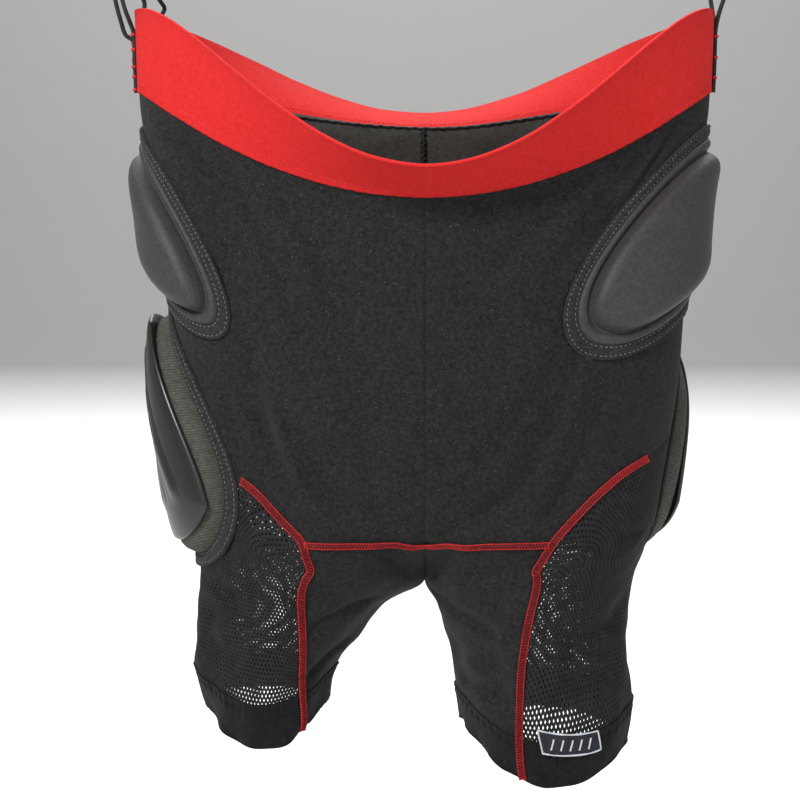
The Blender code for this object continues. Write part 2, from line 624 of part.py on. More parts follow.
def cord(name, side, start, free, end, paint):
    """A round cord, sewn to the waistband at its start and end."""
    sewn = BAND_LIFT + CORD_DIAMETER / 2 + CORD_REST
    ends = [surface(side, *np.array(places).T, sewn) for places in (start, end)]
    curve = bpy.data.curves.new(name, "CURVE")
    curve.dimensions = "3D"
    curve.bevel_depth = CORD_DIAMETER / 2
    curve.bevel_resolution = CORD_SIDES
    curve.use_fill_caps = True
    points = smooth_route([*ends[0], *np.array(free), *ends[1]])
    spline = curve.splines.new("POLY")
    spline.points.add(len(points) - 1)
    for place, point in zip(spline.points, points):
        place.co = (*point, 1)
    curve.materials.append(paint)
    obj = bpy.data.objects.new(name, curve)
    bpy.context.scene.collection.objects.link(obj)


def main():
    for obj in list(bpy.data.objects):
        bpy.data.objects.remove(obj)
    knit = material("black_knit", BLACK, 0.85)
    net = material("black_mesh", BLACK, 0.8)
    elastic = material("red_elastic", RED, 0.7)
    thread = material("red_thread", SEAM_RED, 0.6)
    trim = material("binding", BLACK, 0.8)
    foam = material("moulded_foam", (0.035, 0.034, 0.033, 1), 0.75)
    ribbed = material("ribbed_cover", GREY, 0.8)
    hard = material("hard_shell", (0.02, 0.021, 0.021, 1), 0.3)
    waistband(elastic)
    for side, word in ((-1, "left"), (1, "right")):
        body_panels(side, word, knit)
        mesh_panel(side, word, net)
        inner_leg(side, word, knit)
        leg_hem(side, word, knit)
        leg_seam(side, word, thread)
        hip_pad(side, word, foam, trim)
        thigh_guard(side, word, ribbed, trim, hard)
    crotch_seam(thread)
    patch(1, trim)
    braid = material("braided_cord", BLACK, 0.7)
    for name, side, start, free, end in CORDS:
        cord(name, side, start, free, end, braid)


main()
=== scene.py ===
# %% [markdown]
# # Padded protective shorts
# The object is a pair of close-fitting shorts in black knit and mesh, with a red elastic waistband, a
# moulded pad over each hip and a hard-shelled guard over each thigh. It hangs open from black cords.
# Every piece lies on one smooth surface, the outside of the garment, so the lesson first restates that
# surface and then makes each piece as a flat grid that is laid on it, the way cloth is laid on a body.

# %% Load the frame and keep its box
import math

import bmesh
import bpy
import numpy as np
from mathutils import Matrix, Vector


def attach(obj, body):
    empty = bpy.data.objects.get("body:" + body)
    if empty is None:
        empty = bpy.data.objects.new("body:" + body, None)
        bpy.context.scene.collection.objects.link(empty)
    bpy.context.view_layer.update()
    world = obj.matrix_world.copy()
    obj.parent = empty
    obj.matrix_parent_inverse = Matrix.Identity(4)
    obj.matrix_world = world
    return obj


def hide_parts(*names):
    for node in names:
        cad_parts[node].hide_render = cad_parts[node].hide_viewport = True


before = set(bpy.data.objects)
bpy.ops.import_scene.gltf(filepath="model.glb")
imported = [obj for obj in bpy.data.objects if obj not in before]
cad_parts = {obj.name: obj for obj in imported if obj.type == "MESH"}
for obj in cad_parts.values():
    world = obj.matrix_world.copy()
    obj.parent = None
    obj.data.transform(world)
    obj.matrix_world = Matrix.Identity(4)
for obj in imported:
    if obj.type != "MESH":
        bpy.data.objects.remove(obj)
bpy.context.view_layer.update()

# %% [markdown]
# ## Camera
# The picture was taken level, from straight in front, with the camera about as high as the middle of
# the shorts. A lens of 93.6 mm at 1.3 m gives the same perspective: the waist's inside shows, and the
# back of each leg opening ends above its front. The plain view transform keeps the picture's pale tones.

# %% Camera
CAMERA_PLACE = (-0.0153, -1.3, -0.275)
LENS, SENSOR = 93.6, 36

eye = bpy.data.cameras.new("camera")
eye.lens = LENS
eye.sensor_width = SENSOR
camera = bpy.data.objects.new("camera", eye)
camera.location = CAMERA_PLACE
camera.rotation_euler = (math.radians(90), 0, 0)
bpy.context.scene.collection.objects.link(camera)
bpy.context.scene.camera = camera
bpy.context.scene.view_settings.view_transform = "Standard"
print("camera", CAMERA_PLACE, "lens", LENS)

# %% [markdown]
# ## The garment's measures
# A garment is drafted from a few girths and drops. Here each ring round the body and the legs is one row
# of shares of those measures, so a longer leg or a fuller seat is one number in one row.

# %% Measures and ring tables
WAIST_WIDTH = 0.360
BODY_DEPTH = 0.136
RISE = 0.354
LEG_LENGTH = 0.092
HANG_DROP = 0.033
CLOTH_WALL = 0.0012
HALF_GAP = 0.00015

# height at the side, front, back and centre, half width left and right, bow front and back, fork,
# squareness, and how narrow the dip is at the front and back
BODY_RINGS = (
    (0.000, 0.300, 0.141, 0.300, 1.000, 1.000, 1.440, 1.440, 1.00, 1.10, 1.6, 2.0),
    (0.141, 0.342, 0.184, 0.342, 0.990, 0.990, 0.930, 0.930, 1.00, 0.98, 1.0, 3.0),
    (0.204, 0.410, 0.258, 0.410, 0.976, 0.976, 0.930, 0.940, 1.00, 0.88, 1.0, 2.0),
    (0.288, 0.489, 0.353, 0.489, 0.945, 0.937, 0.955, 0.985, 1.00, 0.78, 1.0, 1.4),
    (0.401, 0.579, 0.472, 0.579, 0.912, 0.911, 0.985, 1.030, 1.00, 0.76, 1.0, 1.0),
    (0.528, 0.675, 0.593, 0.675, 0.872, 0.896, 1.000, 1.045, 1.00, 0.76, 1.0, 1.0),
    (0.664, 0.768, 0.715, 0.780, 0.852, 0.874, 1.000, 1.045, 0.99, 0.78, 1.0, 1.0),
    (0.805, 0.862, 0.839, 0.876, 0.814, 0.828, 0.970, 1.030, 0.86, 0.84, 1.0, 1.0),
    (0.890, 0.929, 0.912, 0.932, 0.786, 0.798, 0.940, 1.010, 0.52, 0.92, 1.0, 1.0),
    (0.945, 0.974, 0.960, 1.000, 0.778, 0.764, 0.910, 1.000, 0.00, 1.00, 1.0, 1.0),
)
# height at the side, front, back and inside leg below the fork, outer and inner side, bow front and back
LEG_RINGS = {
    -1: (
        (0.030, 0.110, 0.060, 0.165, 0.785, 0.140, 0.880, 0.970),
        (0.340, 0.430, 0.360, 0.410, 0.784, 0.248, 0.840, 0.930),
        (0.545, 0.770, 0.580, 0.560, 0.792, 0.300, 0.790, 0.880),
        (0.770, 1.070, 0.810, 0.760, 0.762, 0.328, 0.720, 0.810),
    ),
    1: (
        (0.080, 0.150, 0.080, 0.185, 0.708, 0.050, 0.880, 0.970),
        (0.430, 0.510, 0.400, 0.445, 0.700, 0.088, 0.850, 0.930),
        (0.790, 1.020, 0.680, 0.700, 0.722, 0.108, 0.810, 0.880),
        (1.050, 1.315, 0.940, 0.930, 0.702, 0.132, 0.740, 0.810),
    ),
}
BAND_TOP, BAND_BOTTOM, CROTCH_SEAM, FORK, HEM_TOP, HEM_BOTTOM = 0, 1, 8, 9, 12, 13
SIDES = ((-1, "left"), (1, "right"))


def ring_table(side):
    """The rings of one half in metres, one row each."""
    half, bow, fork_height = WAIST_WIDTH / 2, BODY_DEPTH / 2, -HANG_DROP - RISE
    rows = []
    for row in BODY_RINGS:
        heights = [-HANG_DROP - RISE * x for x in row[:4]]
        rows.append([*heights, half * row[4 if side < 0 else 5], 0, bow * row[6], bow * row[7], *row[8:]])
    for row in LEG_RINGS[side]:
        heights = [fork_height - LEG_LENGTH * x for x in row[:4]]
        rows.append([*heights, half * row[4], half * row[5], bow * row[6], bow * row[7], 0, 1, 1, 1])
    return np.array(rows)


RINGS = {side: ring_table(side) for side, _ in SIDES}
print("rings a side:", len(RINGS[1]))

# %% [markdown]
# ## Rules for lines and curves
# A few small rules serve every step below: a smooth curve between rows of numbers, the length run along a
# line, the rows at given lengths on it, rows made one unit long, and a bell-shaped bump.

# %% Rules for lines and curves
def spline(a, b, c, d, t):
    """A smooth curve from b to c, where a comes before them and d after."""
    return 0.5 * (2 * b + (c - a) * t + (2 * a - 5 * b + 4 * c - d) * t**2
                  + (3 * b - a - 3 * c + d) * t**3)


def unit(rows):
    return rows / np.linalg.norm(rows, axis=1)[:, None]


def metres_along(line):
    """The length run at each point of a line."""
    return np.concatenate([[0], np.cumsum(np.linalg.norm(np.diff(line, axis=0), axis=1))])


def at_metres(metres, run, rows):
    """Rows at the given metres, where run is the length at each row."""
    return np.stack([np.interp(metres, run, column) for column in rows.T], axis=1)


def bell(off, width):
    return np.exp(-((off / width) ** 2))


print("a spline half way from 0 to 1:", spline(0, 0, 1, 1, 0.5))

# %% [markdown]
# ## The garment's surface
# A place on the garment is a side, a share of the way round and a ring number. Share 0 is the centre
# front or the inside leg, 0.5 is the side, and 1 is the centre back. Smooth curves run through the rings,
# and the normal is measured from small steps along the surface.

# %% The surface and its normals
def between_rings(side, ring):
    """The ring table at any ring number, on a smooth curve through its rows."""
    table = RINGS[side]
    last = len(table) - 1
    ring = np.clip(ring, 0, last)
    low = np.minimum(ring.astype(int), last - 1)
    before, after = table[np.maximum(low - 1, 0)], table[np.minimum(low + 2, last)]
    return spline(before, table[low], table[low + 1], after, (ring - low)[:, None])


def bare_surface(side, share, ring):
    """Points of the garment's outside without folds."""
    z_side, z_front, z_back, z_inner, outer, inner, front, back, fork, square, front_dip, back_dip = \
        between_rings(side, ring).T
    start = np.clip(fork, 0, 1) * math.pi / 2
    angle = start + share * (2 * math.pi - 2 * start)
    cosine, sine = np.cos(angle), np.sin(angle)
    reach = (outer - inner) / (1 + np.cos(start))
    x = outer - reach - reach * cosine
    y = np.where(sine > 0, -front, back) * np.abs(sine) ** square
    end = np.where(cosine < 0, z_side, z_inner)
    middle = np.where(sine > 0, z_front, z_back)
    dip = np.where(sine > 0, front_dip, back_dip)
    z = end + (middle - end) * (1 - cosine**2) ** dip
    return np.stack([side * x, y, z], axis=1)


def normals_of(side, share, ring, step=1e-3):
    """Outward unit normals of the garment's outside."""
    low_ring, high_ring = np.maximum(ring - step * 10, 0), np.minimum(ring + step * 10, HEM_BOTTOM)
    along = bare_surface(side, share + step, ring) - bare_surface(side, share - step, ring)
    down = bare_surface(side, share, high_ring) - bare_surface(side, share, low_ring)
    normal = np.cross(down, along) * side
    return normal / np.maximum(np.linalg.norm(normal, axis=1), 1e-12)[:, None]


print("centre front of the waist", bare_surface(1, np.array([0.0]), np.array([0.0])).round(4))

# %% [markdown]
# ## Folds
# Cloth that hangs by two corners drags in soft diagonal folds towards what holds it, and pads make more
# of them below their lower ends. Each fold is a line on the surface with a width and a depth. Between the
# folds the cloth is never quite flat, so a few long, low waves are added to them.

# %% Folds and waves
# side, share and ring of the start, share and ring of the end, width, depth
FOLDS = (
    (-1, 0.300, 1.2, 0.210, 3.6, 0.012, 0.0020),
    (-1, 0.235, 4.8, 0.212, 6.4, 0.009, 0.0032),
    (-1, 0.160, 6.0, 0.115, 7.2, 0.010, 0.0034),
    (1, 0.330, 1.2, 0.205, 3.0, 0.008, 0.0030),
    (1, 0.270, 1.3, 0.150, 3.4, 0.010, 0.0028),
    (1, 0.230, 4.3, 0.120, 6.2, 0.012, 0.0036),
    (1, 0.190, 5.6, 0.090, 7.2, 0.011, 0.0040),
    (-1, 0.300, 9.6, 0.440, 10.7, 0.013, 0.0050),
    (-1, 0.270, 11.6, 0.420, 11.0, 0.011, 0.0040),
    (1, 0.290, 10.9, 0.440, 10.3, 0.013, 0.0050),
    (1, 0.020, 9.6, 0.190, 9.9, 0.009, 0.0030),
    (1, 0.020, 11.0, 0.180, 10.9, 0.010, 0.0030),
    (-1, 0.620, 4.5, 0.800, 7.5, 0.014, 0.0036),
    (1, 0.600, 4.8, 0.780, 7.6, 0.014, 0.0036),
)
# shallower creases that only the finished cloth shows; a negative depth is a ridge
CREASES = (
    (-1, 0.240, 1.3, 0.150, 4.4, 0.006, 0.0009),
    (-1, 0.190, 1.5, 0.120, 3.6, 0.008, -0.0008),
    (-1, 0.205, 5.6, 0.150, 7.3, 0.006, -0.0014),
    (-1, 0.080, 5.2, 0.060, 7.4, 0.008, 0.0010),
    (-1, 0.130, 2.6, 0.050, 4.8, 0.010, 0.0008),
    (1, 0.215, 4.6, 0.160, 6.6, 0.006, -0.0016),
    (1, 0.165, 4.8, 0.060, 6.4, 0.008, 0.0012),
    (1, 0.240, 5.6, 0.170, 7.5, 0.006, 0.0014),
    (1, 0.180, 1.3, 0.080, 3.0, 0.008, 0.0010),
    (1, 0.300, 1.4, 0.240, 2.4, 0.005, -0.0012),
    (1, 0.100, 6.9, 0.030, 7.7, 0.006, 0.0010),
    (-1, 0.100, 9.7, 0.190, 10.6, 0.006, 0.0012),
    (-1, 0.060, 10.8, 0.150, 11.7, 0.006, 0.0012),
    (1, 0.060, 9.9, 0.170, 10.5, 0.006, 0.0014),
    (1, 0.050, 11.6, 0.180, 11.4, 0.006, 0.0012),
    (-1, 0.300, 10.6, 0.400, 9.7, 0.007, 0.0016),
    (1, 0.260, 11.5, 0.400, 11.2, 0.007, 0.0016),
)
FOLD_RING_STEP = 0.040
FOLD_ROUND = 0.480
# waves of the loose cloth: turns per metre round and down, phase, height
WAVES_SHOWN, CREASES_SHOWN = 2.2, 2.4
WAVES = ((9, 6, 0.4, 0.00034), (-13, 11, 1.9, 0.00026), (24, -9, 3.1, 0.00016), (31, 27, 5.0, 0.00010))


def line_depth(table, side, share, ring):
    """How far the lines of a fold table press the cloth in."""
    depth = np.zeros(len(share))
    for fold_side, share0, ring0, share1, ring1, width, deep in table:
        if fold_side != side:
            continue
        run = np.array([(share1 - share0) * FOLD_ROUND, (ring1 - ring0) * FOLD_RING_STEP])
        at = np.stack([(share - share0) * FOLD_ROUND, (ring - ring0) * FOLD_RING_STEP], axis=1)
        t = at @ run / (run @ run)
        off = np.linalg.norm(at - np.clip(t, 0, 1)[:, None] * run, axis=1)
        depth += deep * np.clip(np.minimum(t, 1 - t) * 4 + 0.5, 0, 1) * bell(off, width)
    return depth


def loose(side, share, ring):
    """Low waves and creases of the cloth. They fade out at the sides, where the pads are, at the centre
    seams and under the band."""
    a, b = share * FOLD_ROUND, ring * FOLD_RING_STEP
    bend = 1.2 * np.sin(math.tau * 5 * (b - a))
    wave = sum(h * np.sin(math.tau * (u * a + v * b) + p + side + bend) for u, v, p, h in WAVES)
    from_centre = np.minimum(share, 1 - share)
    free = np.clip((0.34 - from_centre) / 0.06, 0, 1) * np.clip(from_centre / 0.02, 0, 1)
    free = np.where(ring > 8.2, np.clip(from_centre / 0.02, 0, 1), free)
    shown = wave * WAVES_SHOWN + line_depth(CREASES, side, share, ring) * CREASES_SHOWN
    return shown * free * np.clip((ring - 0.95) / 0.3, 0, 1)


def surface(side, share, ring, lift=0.0, worn=False):
    """Points of the garment's outside, raised by lift; worn adds the cloth's own waves and creases."""
    share, ring = np.atleast_1d(share).astype(float), np.atleast_1d(ring).astype(float)
    press = line_depth(FOLDS, side, share, ring)
    if worn:
        press = press + loose(side, share, ring)
    points = bare_surface(side, share, ring) + normals_of(side, share, ring) * (lift - press)[:, None]
    points[:, 0] = side * np.maximum(side * points[:, 0], HALF_GAP)
    return points


def cloth(side, share, ring, lift=0.0):
    return surface(side, share, ring, lift, worn=True)


print("folds and creases:", len(FOLDS) + len(CREASES))

# %% [markdown]
# ## Laying a flat grid on the surface
# A sheet of cloth starts as a flat grid. Each vertex is a pair of shares from 0 to 1, and a rule for the
# piece turns them into a place in space and a place on the flat pattern in metres. The pattern goes into
# the UV map, so weaves keep their real size on every piece.

# %% Helpers for grids, walls and finished pieces
ROOT = "root"


def laid_grid(bm, across, down, lay):
    """Adds a flat grid to bm and lays it with lay(u, v), which gives points and pattern metres."""
    verts = bmesh.ops.create_grid(bm, x_segments=across, y_segments=down, size=0.5)["verts"]
    flat = np.array([v.co[:2] for v in verts]) + 0.5
    points, pattern = lay(flat[:, 0], 1 - flat[:, 1])
    layer = bm.loops.layers.uv.verify()
    for vert, point, (a, b) in zip(verts, points, pattern):
        vert.co = point
        for loop in vert.link_loops:
            loop[layer].uv = (a, b)
    return verts


def open_edges(bm):
    return [e for e in bm.edges if e.is_boundary]


def piece(name, bm, paints, node=None, weld=1e-6, wall=0.0, axis=None):
    """A finished piece from a bmesh: welded, facing out, with an optional wall. It replaces the frame's
    node where one is named. An open sheet turns its faces away from the upright line at x = axis."""
    if weld:
        bmesh.ops.remove_doubles(bm, verts=bm.verts, dist=weld)
    bmesh.ops.recalc_face_normals(bm, faces=bm.faces)
    if axis is not None:
        middles = [(f, f.calc_center_median()) for f in bm.faces]
        if sum(f.calc_area() * f.normal.dot(Vector((c.x - axis, c.y, 0))) for f, c in middles) < 0:
            bmesh.ops.reverse_faces(bm, faces=bm.faces)
    mesh = bpy.data.meshes.new(name)
    bm.to_mesh(mesh)
    bm.free()
    for paint in paints:
        mesh.materials.append(paint)
    mesh.shade_smooth()
    made = bpy.data.objects.new(name, mesh)
    bpy.context.scene.collection.objects.link(made)
    if wall:
        solid = made.modifiers.new("wall", "SOLIDIFY")
        solid.thickness = wall
        solid.offset = -1
        solid.use_even_offset = True
        solid.material_offset = len(mesh.materials) - 1
        solid.material_offset_rim = 0
    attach(made, ROOT)
    if node:
        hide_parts(node)
    return made


def tally(*made):
    for each in made:
        print(f"  {each.name}: {len(each.data.vertices)} vertices, {len(each.data.polygons)} faces")


# %% [markdown]
# ## Effects that several finishes share
# Cloth, thread and foam all show the same few things: a regular weave, cloudy changes of tone from wear
# and handling, and pale lint. Each is a node group with named sockets, so a finish sets its own scale and
# strength and the effect is built once.

# %% Node groups
def effect(name, inputs, outputs):
    """An empty node group with named sockets."""
    group = bpy.data.node_groups.new(name, "ShaderNodeTree")
    for word, kind, value in inputs:
        socket = group.interface.new_socket(word, in_out="INPUT", socket_type=kind)
        if value is not None:
            socket.default_value = value
    for word, kind in outputs:
        group.interface.new_socket(word, in_out="OUTPUT", socket_type=kind)
    return group, group.nodes.new("NodeGroupInput"), group.nodes.new("NodeGroupOutput")


def shader_node(tree, kind, values, **settings):
    """A node with its settings, then its inputs: each is a number, a colour or another node's output."""
    made = tree.nodes.new("ShaderNode" + kind)
    for word, setting in settings.items():
        setattr(made, word, setting)
    for word, value in values.items():
        if isinstance(value, bpy.types.NodeSocket):
            tree.links.new(value, made.inputs[word])
        else:
            made.inputs[word].default_value = value
    return made.outputs


def math_node(tree, operation, *values):
    return shader_node(tree, "Math", dict(enumerate(values)), operation=operation)[0]


def mix_node(tree, factor, a, b, **settings):
    values = {"Factor": factor, "A": a, "B": b}
    return shader_node(tree, "Mix", values, data_type="RGBA", **settings)["Result"]


def noise_node(tree, vector, scale, detail, rough):
    values = {"Vector": vector, "Scale": scale, "Detail": detail, "Roughness": rough}
    return shader_node(tree, "TexNoise", values)["Fac"]


def turns_sine(tree, turns):
    """The sine of a number of whole turns."""
    return math_node(tree, "SINE", math_node(tree, "MULTIPLY", turns, math.tau))


VECTOR, VALUE, COLOUR = "NodeSocketVector", "NodeSocketFloat", "NodeSocketColor"
LINT_SCALE, LINT_COLOUR = 900.0, (0.3, 0.3, 0.3, 1)
CLOUD_FROM, CLOUD_TO = 0.32, 0.68

weave, w_in, w_out = effect("weave", (
    ("Pattern", VECTOR, None), ("Across", VALUE, 900.0), ("Down", VALUE, 900.0), ("Slant", VALUE, 0.0)),
    (("Height", VALUE),))
x, y, _ = shader_node(weave, "SeparateXYZ", {0: w_in.outputs["Pattern"]})
slanted = math_node(weave, "MULTIPLY_ADD", y, w_in.outputs["Slant"], x)
warp = turns_sine(weave, math_node(weave, "MULTIPLY", slanted, w_in.outputs["Across"]))
weft = turns_sine(weave, math_node(weave, "MULTIPLY", y, w_in.outputs["Down"]))
crossed = math_node(weave, "MULTIPLY", warp, weft)
weave.links.new(math_node(weave, "MULTIPLY_ADD", crossed, 0.5, 0.5), w_out.inputs["Height"])

ribs, r_in, r_out = effect(
    "ribs", (("Pattern", VECTOR, None), ("Across", VALUE, 0.0), ("Down", VALUE, 600.0)), (("Height", VALUE),))
x, y, _ = shader_node(ribs, "SeparateXYZ", {0: r_in.outputs["Pattern"]})
turns = math_node(ribs, "ADD", math_node(ribs, "MULTIPLY", x, r_in.outputs["Across"]),
                  math_node(ribs, "MULTIPLY", y, r_in.outputs["Down"]))
ribs.links.new(math_node(ribs, "MULTIPLY_ADD", turns_sine(ribs, turns), 0.5, 0.5), r_out.inputs["Height"])

mottle, m_in, m_out = effect("mottle", (
    ("Place", VECTOR, None), ("Scale", VALUE, 60.0), ("Dark", COLOUR, (0, 0, 0, 1)),
    ("Pale", COLOUR, (1, 1, 1, 1)), ("Lint", VALUE, 0.0), ("Lint Colour", COLOUR, LINT_COLOUR)),
    (("Colour", COLOUR),))
inputs = m_in.outputs
cloud = noise_node(mottle, inputs["Place"], inputs["Scale"], 4.0, 0.62)
spread = shader_node(mottle, "MapRange", {"From Min": CLOUD_FROM, "From Max": CLOUD_TO, "Value": cloud})[0]
tone = mix_node(mottle, spread, inputs["Dark"], inputs["Pale"])
fleck = noise_node(mottle, inputs["Place"], LINT_SCALE, 1.0, 0.4)
fleck = math_node(mottle, "MULTIPLY_ADD", fleck, 9.0, -6.2)
fleck = math_node(mottle, "SMOOTH_MIN", math_node(mottle, "MAXIMUM", fleck, 0.0), 1.0, 0.05)
fleck = math_node(mottle, "MULTIPLY", fleck, inputs["Lint"])
mottle.links.new(mix_node(mottle, fleck, tone, inputs["Lint Colour"]), m_out.inputs["Colour"])
print("effects:", ", ".join(g.name for g in bpy.data.node_groups))

# %% [markdown]
# ## Finishes
# Every finish is a Principled shader with a tone that changes over the surface and a relief of its own; a
# woven finish can also carry painted shade, darker in the low parts between its threads.
# Worn black cloth is dark grey, never black, and it scatters light at its edges, which the sheen gives.

# %% Finishes
SHEEN_ROUGH, COAT_ROUGH = 0.5, 0.12
# colour that the painted shade between the threads multiplies in
THREAD_SHADOW = (0.25, 0.25, 0.25, 1)


def finish(name, dark, pale, rough, scale, lint=0.0, sheen=0.0, coat=0.0, across=0, down=0, slant=0.0,
           weave_height=0.0002, ribbed=False, grain=0.0, grain_scale=900.0, grain_height=0.0001,
           specular=0.3, painted_weave_shade=0.0):
    """A material with mottled colour, a woven or ribbed relief on the pattern, and a fine grain; a woven one
    can also darken its colour in the low parts of the weave, as painted shade.
    """
    made = bpy.data.materials.new(name)
    made.use_nodes = True
    tree = made.node_tree
    shader = tree.nodes["Principled BSDF"]
    for word, value in (("Roughness", rough), ("Specular IOR Level", specular), ("Sheen Weight", sheen),
                        ("Sheen Roughness", SHEEN_ROUGH), ("Coat Weight", coat),
                        ("Coat Roughness", COAT_ROUGH)):
        shader.inputs[word].default_value = value
    where = shader_node(tree, "TexCoord", {})
    values = {"Place": where["Object"], "Scale": scale, "Dark": (*dark, 1), "Pale": (*pale, 1),
              "Lint": lint, "Lint Colour": LINT_COLOUR}
    colour = shader_node(tree, "Group", values, node_tree=mottle)["Colour"]
    relief = {}
    if across or down:
        values = {"Pattern": where["UV"], "Across": across, "Down": down}
        if not ribbed:
            values["Slant"] = slant
        height = shader_node(tree, "Group", values, node_tree=ribs if ribbed else weave)["Height"]
        values = {"Distance": weave_height, "Strength": 1.0, "Height": height}
        relief["Normal"] = shader_node(tree, "Bump", values)["Normal"]
        # painted shade: the colour is darkened where the weave is low, between the threads
        if painted_weave_shade:
            shadow = math_node(tree, "MULTIPLY_ADD", height, -painted_weave_shade, painted_weave_shade)
            colour = mix_node(tree, shadow, colour, THREAD_SHADOW, blend_type="MULTIPLY")
    if grain:
        height = noise_node(tree, where["Object"], grain_scale, 3.0, 0.6)
        values = {"Distance": grain_height, "Strength": grain, "Height": height, **relief}
        relief["Normal"] = shader_node(tree, "Bump", values)["Normal"]
    tree.links.new(colour, shader.inputs["Base Color"])
    if relief:
        tree.links.new(relief["Normal"], shader.inputs["Normal"])
    return made


def grey(tone):
    return tone, tone, tone


black_knit = finish("black_knit", grey(0.009), (0.027, 0.0268, 0.0262), 0.92, 420, lint=0.25, sheen=0.05,
                    across=700, down=800, weave_height=0.00025, grain=0.6, painted_weave_shade=0.5, specular=0.15)
knit_inside = finish("knit_inside", (0.034, 0.034, 0.031), (0.062, 0.061, 0.055), 0.95, 380, lint=0.35,
                     sheen=0.05, across=620, down=620, weave_height=0.00030, grain=0.5, painted_weave_shade=0.5,
                     specular=0.15)
black_mesh = finish("black_mesh", grey(0.006), grey(0.014), 0.8, 160, lint=0.10, grain=0.5,
                    grain_scale=1400, specular=0.25)
hem_knit = finish("hem_knit", grey(0.006), grey(0.013), 0.9, 300, lint=0.15, sheen=0.04, across=800,
                  down=520, weave_height=0.00028, grain=0.5, painted_weave_shade=0.6, specular=0.15)
red_elastic = finish("red_elastic", (0.570, 0.016, 0.016), (0.700, 0.024, 0.022), 0.88, 420, down=1100,
                     ribbed=True, weave_height=0.00016, grain=0.35, grain_scale=1500, painted_weave_shade=0.22,
                     specular=0.2)
red_thread = finish("red_thread", (0.50, 0.014, 0.018), (0.72, 0.030, 0.032), 0.6, 300, grain=0.5,
                    grain_scale=2500)
red_ground = finish("red_ground", (0.020, 0.006, 0.006), (0.07, 0.008, 0.009), 0.85, 300, grain=0.6,
                    grain_scale=2000)
binding_cloth = finish("binding_cloth", grey(0.014), (0.036, 0.036, 0.035), 0.86, 500, lint=0.5, sheen=0.04,
                       across=900, down=900, slant=0.4, weave_height=0.00025, grain=0.6, painted_weave_shade=0.4,
                       specular=0.2)
moulded_foam = finish("moulded_foam", grey(0.019), (0.036, 0.036, 0.035), 0.58, 420, lint=0.15, sheen=0.04,
                      grain=0.7, grain_scale=1300, grain_height=0.00018, specular=0.38)
ribbed_cover = finish("ribbed_cover", (0.050, 0.048, 0.040), (0.090, 0.087, 0.074), 0.82, 400, lint=0.3,
                      across=620, ribbed=True, grain=0.6, painted_weave_shade=0.5, specular=0.25)
hard_shell = finish("hard_shell", (0.0045, 0.0046, 0.0046), (0.0080, 0.0082, 0.0080), 0.36, 30, coat=0.08,
                    grain=0.15, grain_scale=700, specular=0.5)
braided_cord = finish("braided_cord", grey(0.006), grey(0.020), 0.7, 500, grain=0.6, grain_scale=2600)
dark_thread = finish("dark_thread", grey(0.004), grey(0.012), 0.65, 400, grain=0.5, grain_scale=2500)
pale_thread = finish("pale_thread", (0.10, 0.10, 0.098), (0.22, 0.22, 0.215), 0.6, 400, grain=0.5,
                     grain_scale=2500)
patch_cloth = finish("patch_field", (0.010, 0.011, 0.016), (0.024, 0.026, 0.034), 0.8, 300, across=1500,
                     down=1500, weave_height=0.0001, grain=0.4, grain_scale=2200, painted_weave_shade=0.3)
patch_edge = finish("patch_edge", (0.42, 0.44, 0.46), (0.62, 0.64, 0.66), 0.65, 400, grain=0.6,
                    grain_scale=2400)
print("finishes:", len(bpy.data.materials))

# %% [markdown]
# ## Tubes and stitches
# A cord or a thread is a grid rolled round a line, welded where its edges meet and closed at its ends. A
# single stitch is only a pixel or two long, so it is a ball of a few faces, drawn out.

# %% Tubes and stitches
def frames_along(path):
    """Unit directions along a line and two directions square to each."""
    along = unit(np.gradient(path, axis=0))
    side = np.empty_like(along)
    first = np.cross(along[0], (0.3, 0.5, 0.8))
    for i, direction in enumerate(along):
        first = first - direction * (first @ direction)
        first /= np.linalg.norm(first)
        side[i] = first
    return along, side, np.cross(along, side)


def tube(bm, path, radius, sides=8, relief=None):
    """Adds a closed tube round a line. relief(turns round, metres along) scales its radius."""
    path = np.asarray(path, float)
    along, side, over = frames_along(path)
    metres = metres_along(path)

    def roll(u, v):
        i = np.rint(v * (len(path) - 1)).astype(int)
        size = radius * (relief(u, metres[i]) if relief else np.ones(len(u)))
        angle = math.tau * u
        out = side[i] * np.cos(angle)[:, None] + over[i] * np.sin(angle)[:, None]
        return path[i] + out * size[:, None], np.stack([u * radius * math.tau, metres[i]], axis=1)

    verts = laid_grid(bm, sides, len(path) - 1, roll)
    bmesh.ops.remove_doubles(bm, verts=verts, dist=1e-7)
    bmesh.ops.holes_fill(bm, edges=open_edges(bm), sides=sides + 1)


def beads(depth, pitch):
    """Relief of a twisted thread, for a tube: one bulge each pitch."""
    return lambda turns, metres: (1 - depth) + depth * np.sin(math.tau * metres / pitch)


bm = bmesh.new()
bmesh.ops.create_uvsphere(bm, u_segments=6, v_segments=4, radius=1)
STITCH = bpy.data.meshes.new("stitch")
bm.to_mesh(STITCH)
bm.free()
STITCH_FORM = np.array([v.co for v in STITCH.vertices])


def stitch(bm, centre, along, normal, length, thick):
    """Adds one stitch: a small ball drawn out along its seam and a little flattened."""
    along = np.asarray(along, float) / np.linalg.norm(along)
    across = np.cross(normal, along)
    across /= np.linalg.norm(across)
    up = np.cross(along, across)
    size = np.array([thick * 0.4, thick / 2, length / 2])
    placed = (STITCH_FORM * size) @ np.stack([up, across, along]) + np.asarray(centre)
    STITCH.vertices.foreach_set("co", placed.ravel())
    bm.from_mesh(STITCH)


def smooth_route(route, step):
    """Evenly spaced points on a smooth curve through a route's own points."""
    p = np.array([route[0], *route, route[-1]])
    fine = [spline(a, b, c, d, t) for a, b, c, d in zip(p, p[1:], p[2:], p[3:]) for t in np.arange(12) / 12]
    fine = np.array([*fine, route[-1]])
    run = metres_along(fine)
    return at_metres(np.linspace(0, run[-1], round(run[-1] / step) + 1), run, fine)


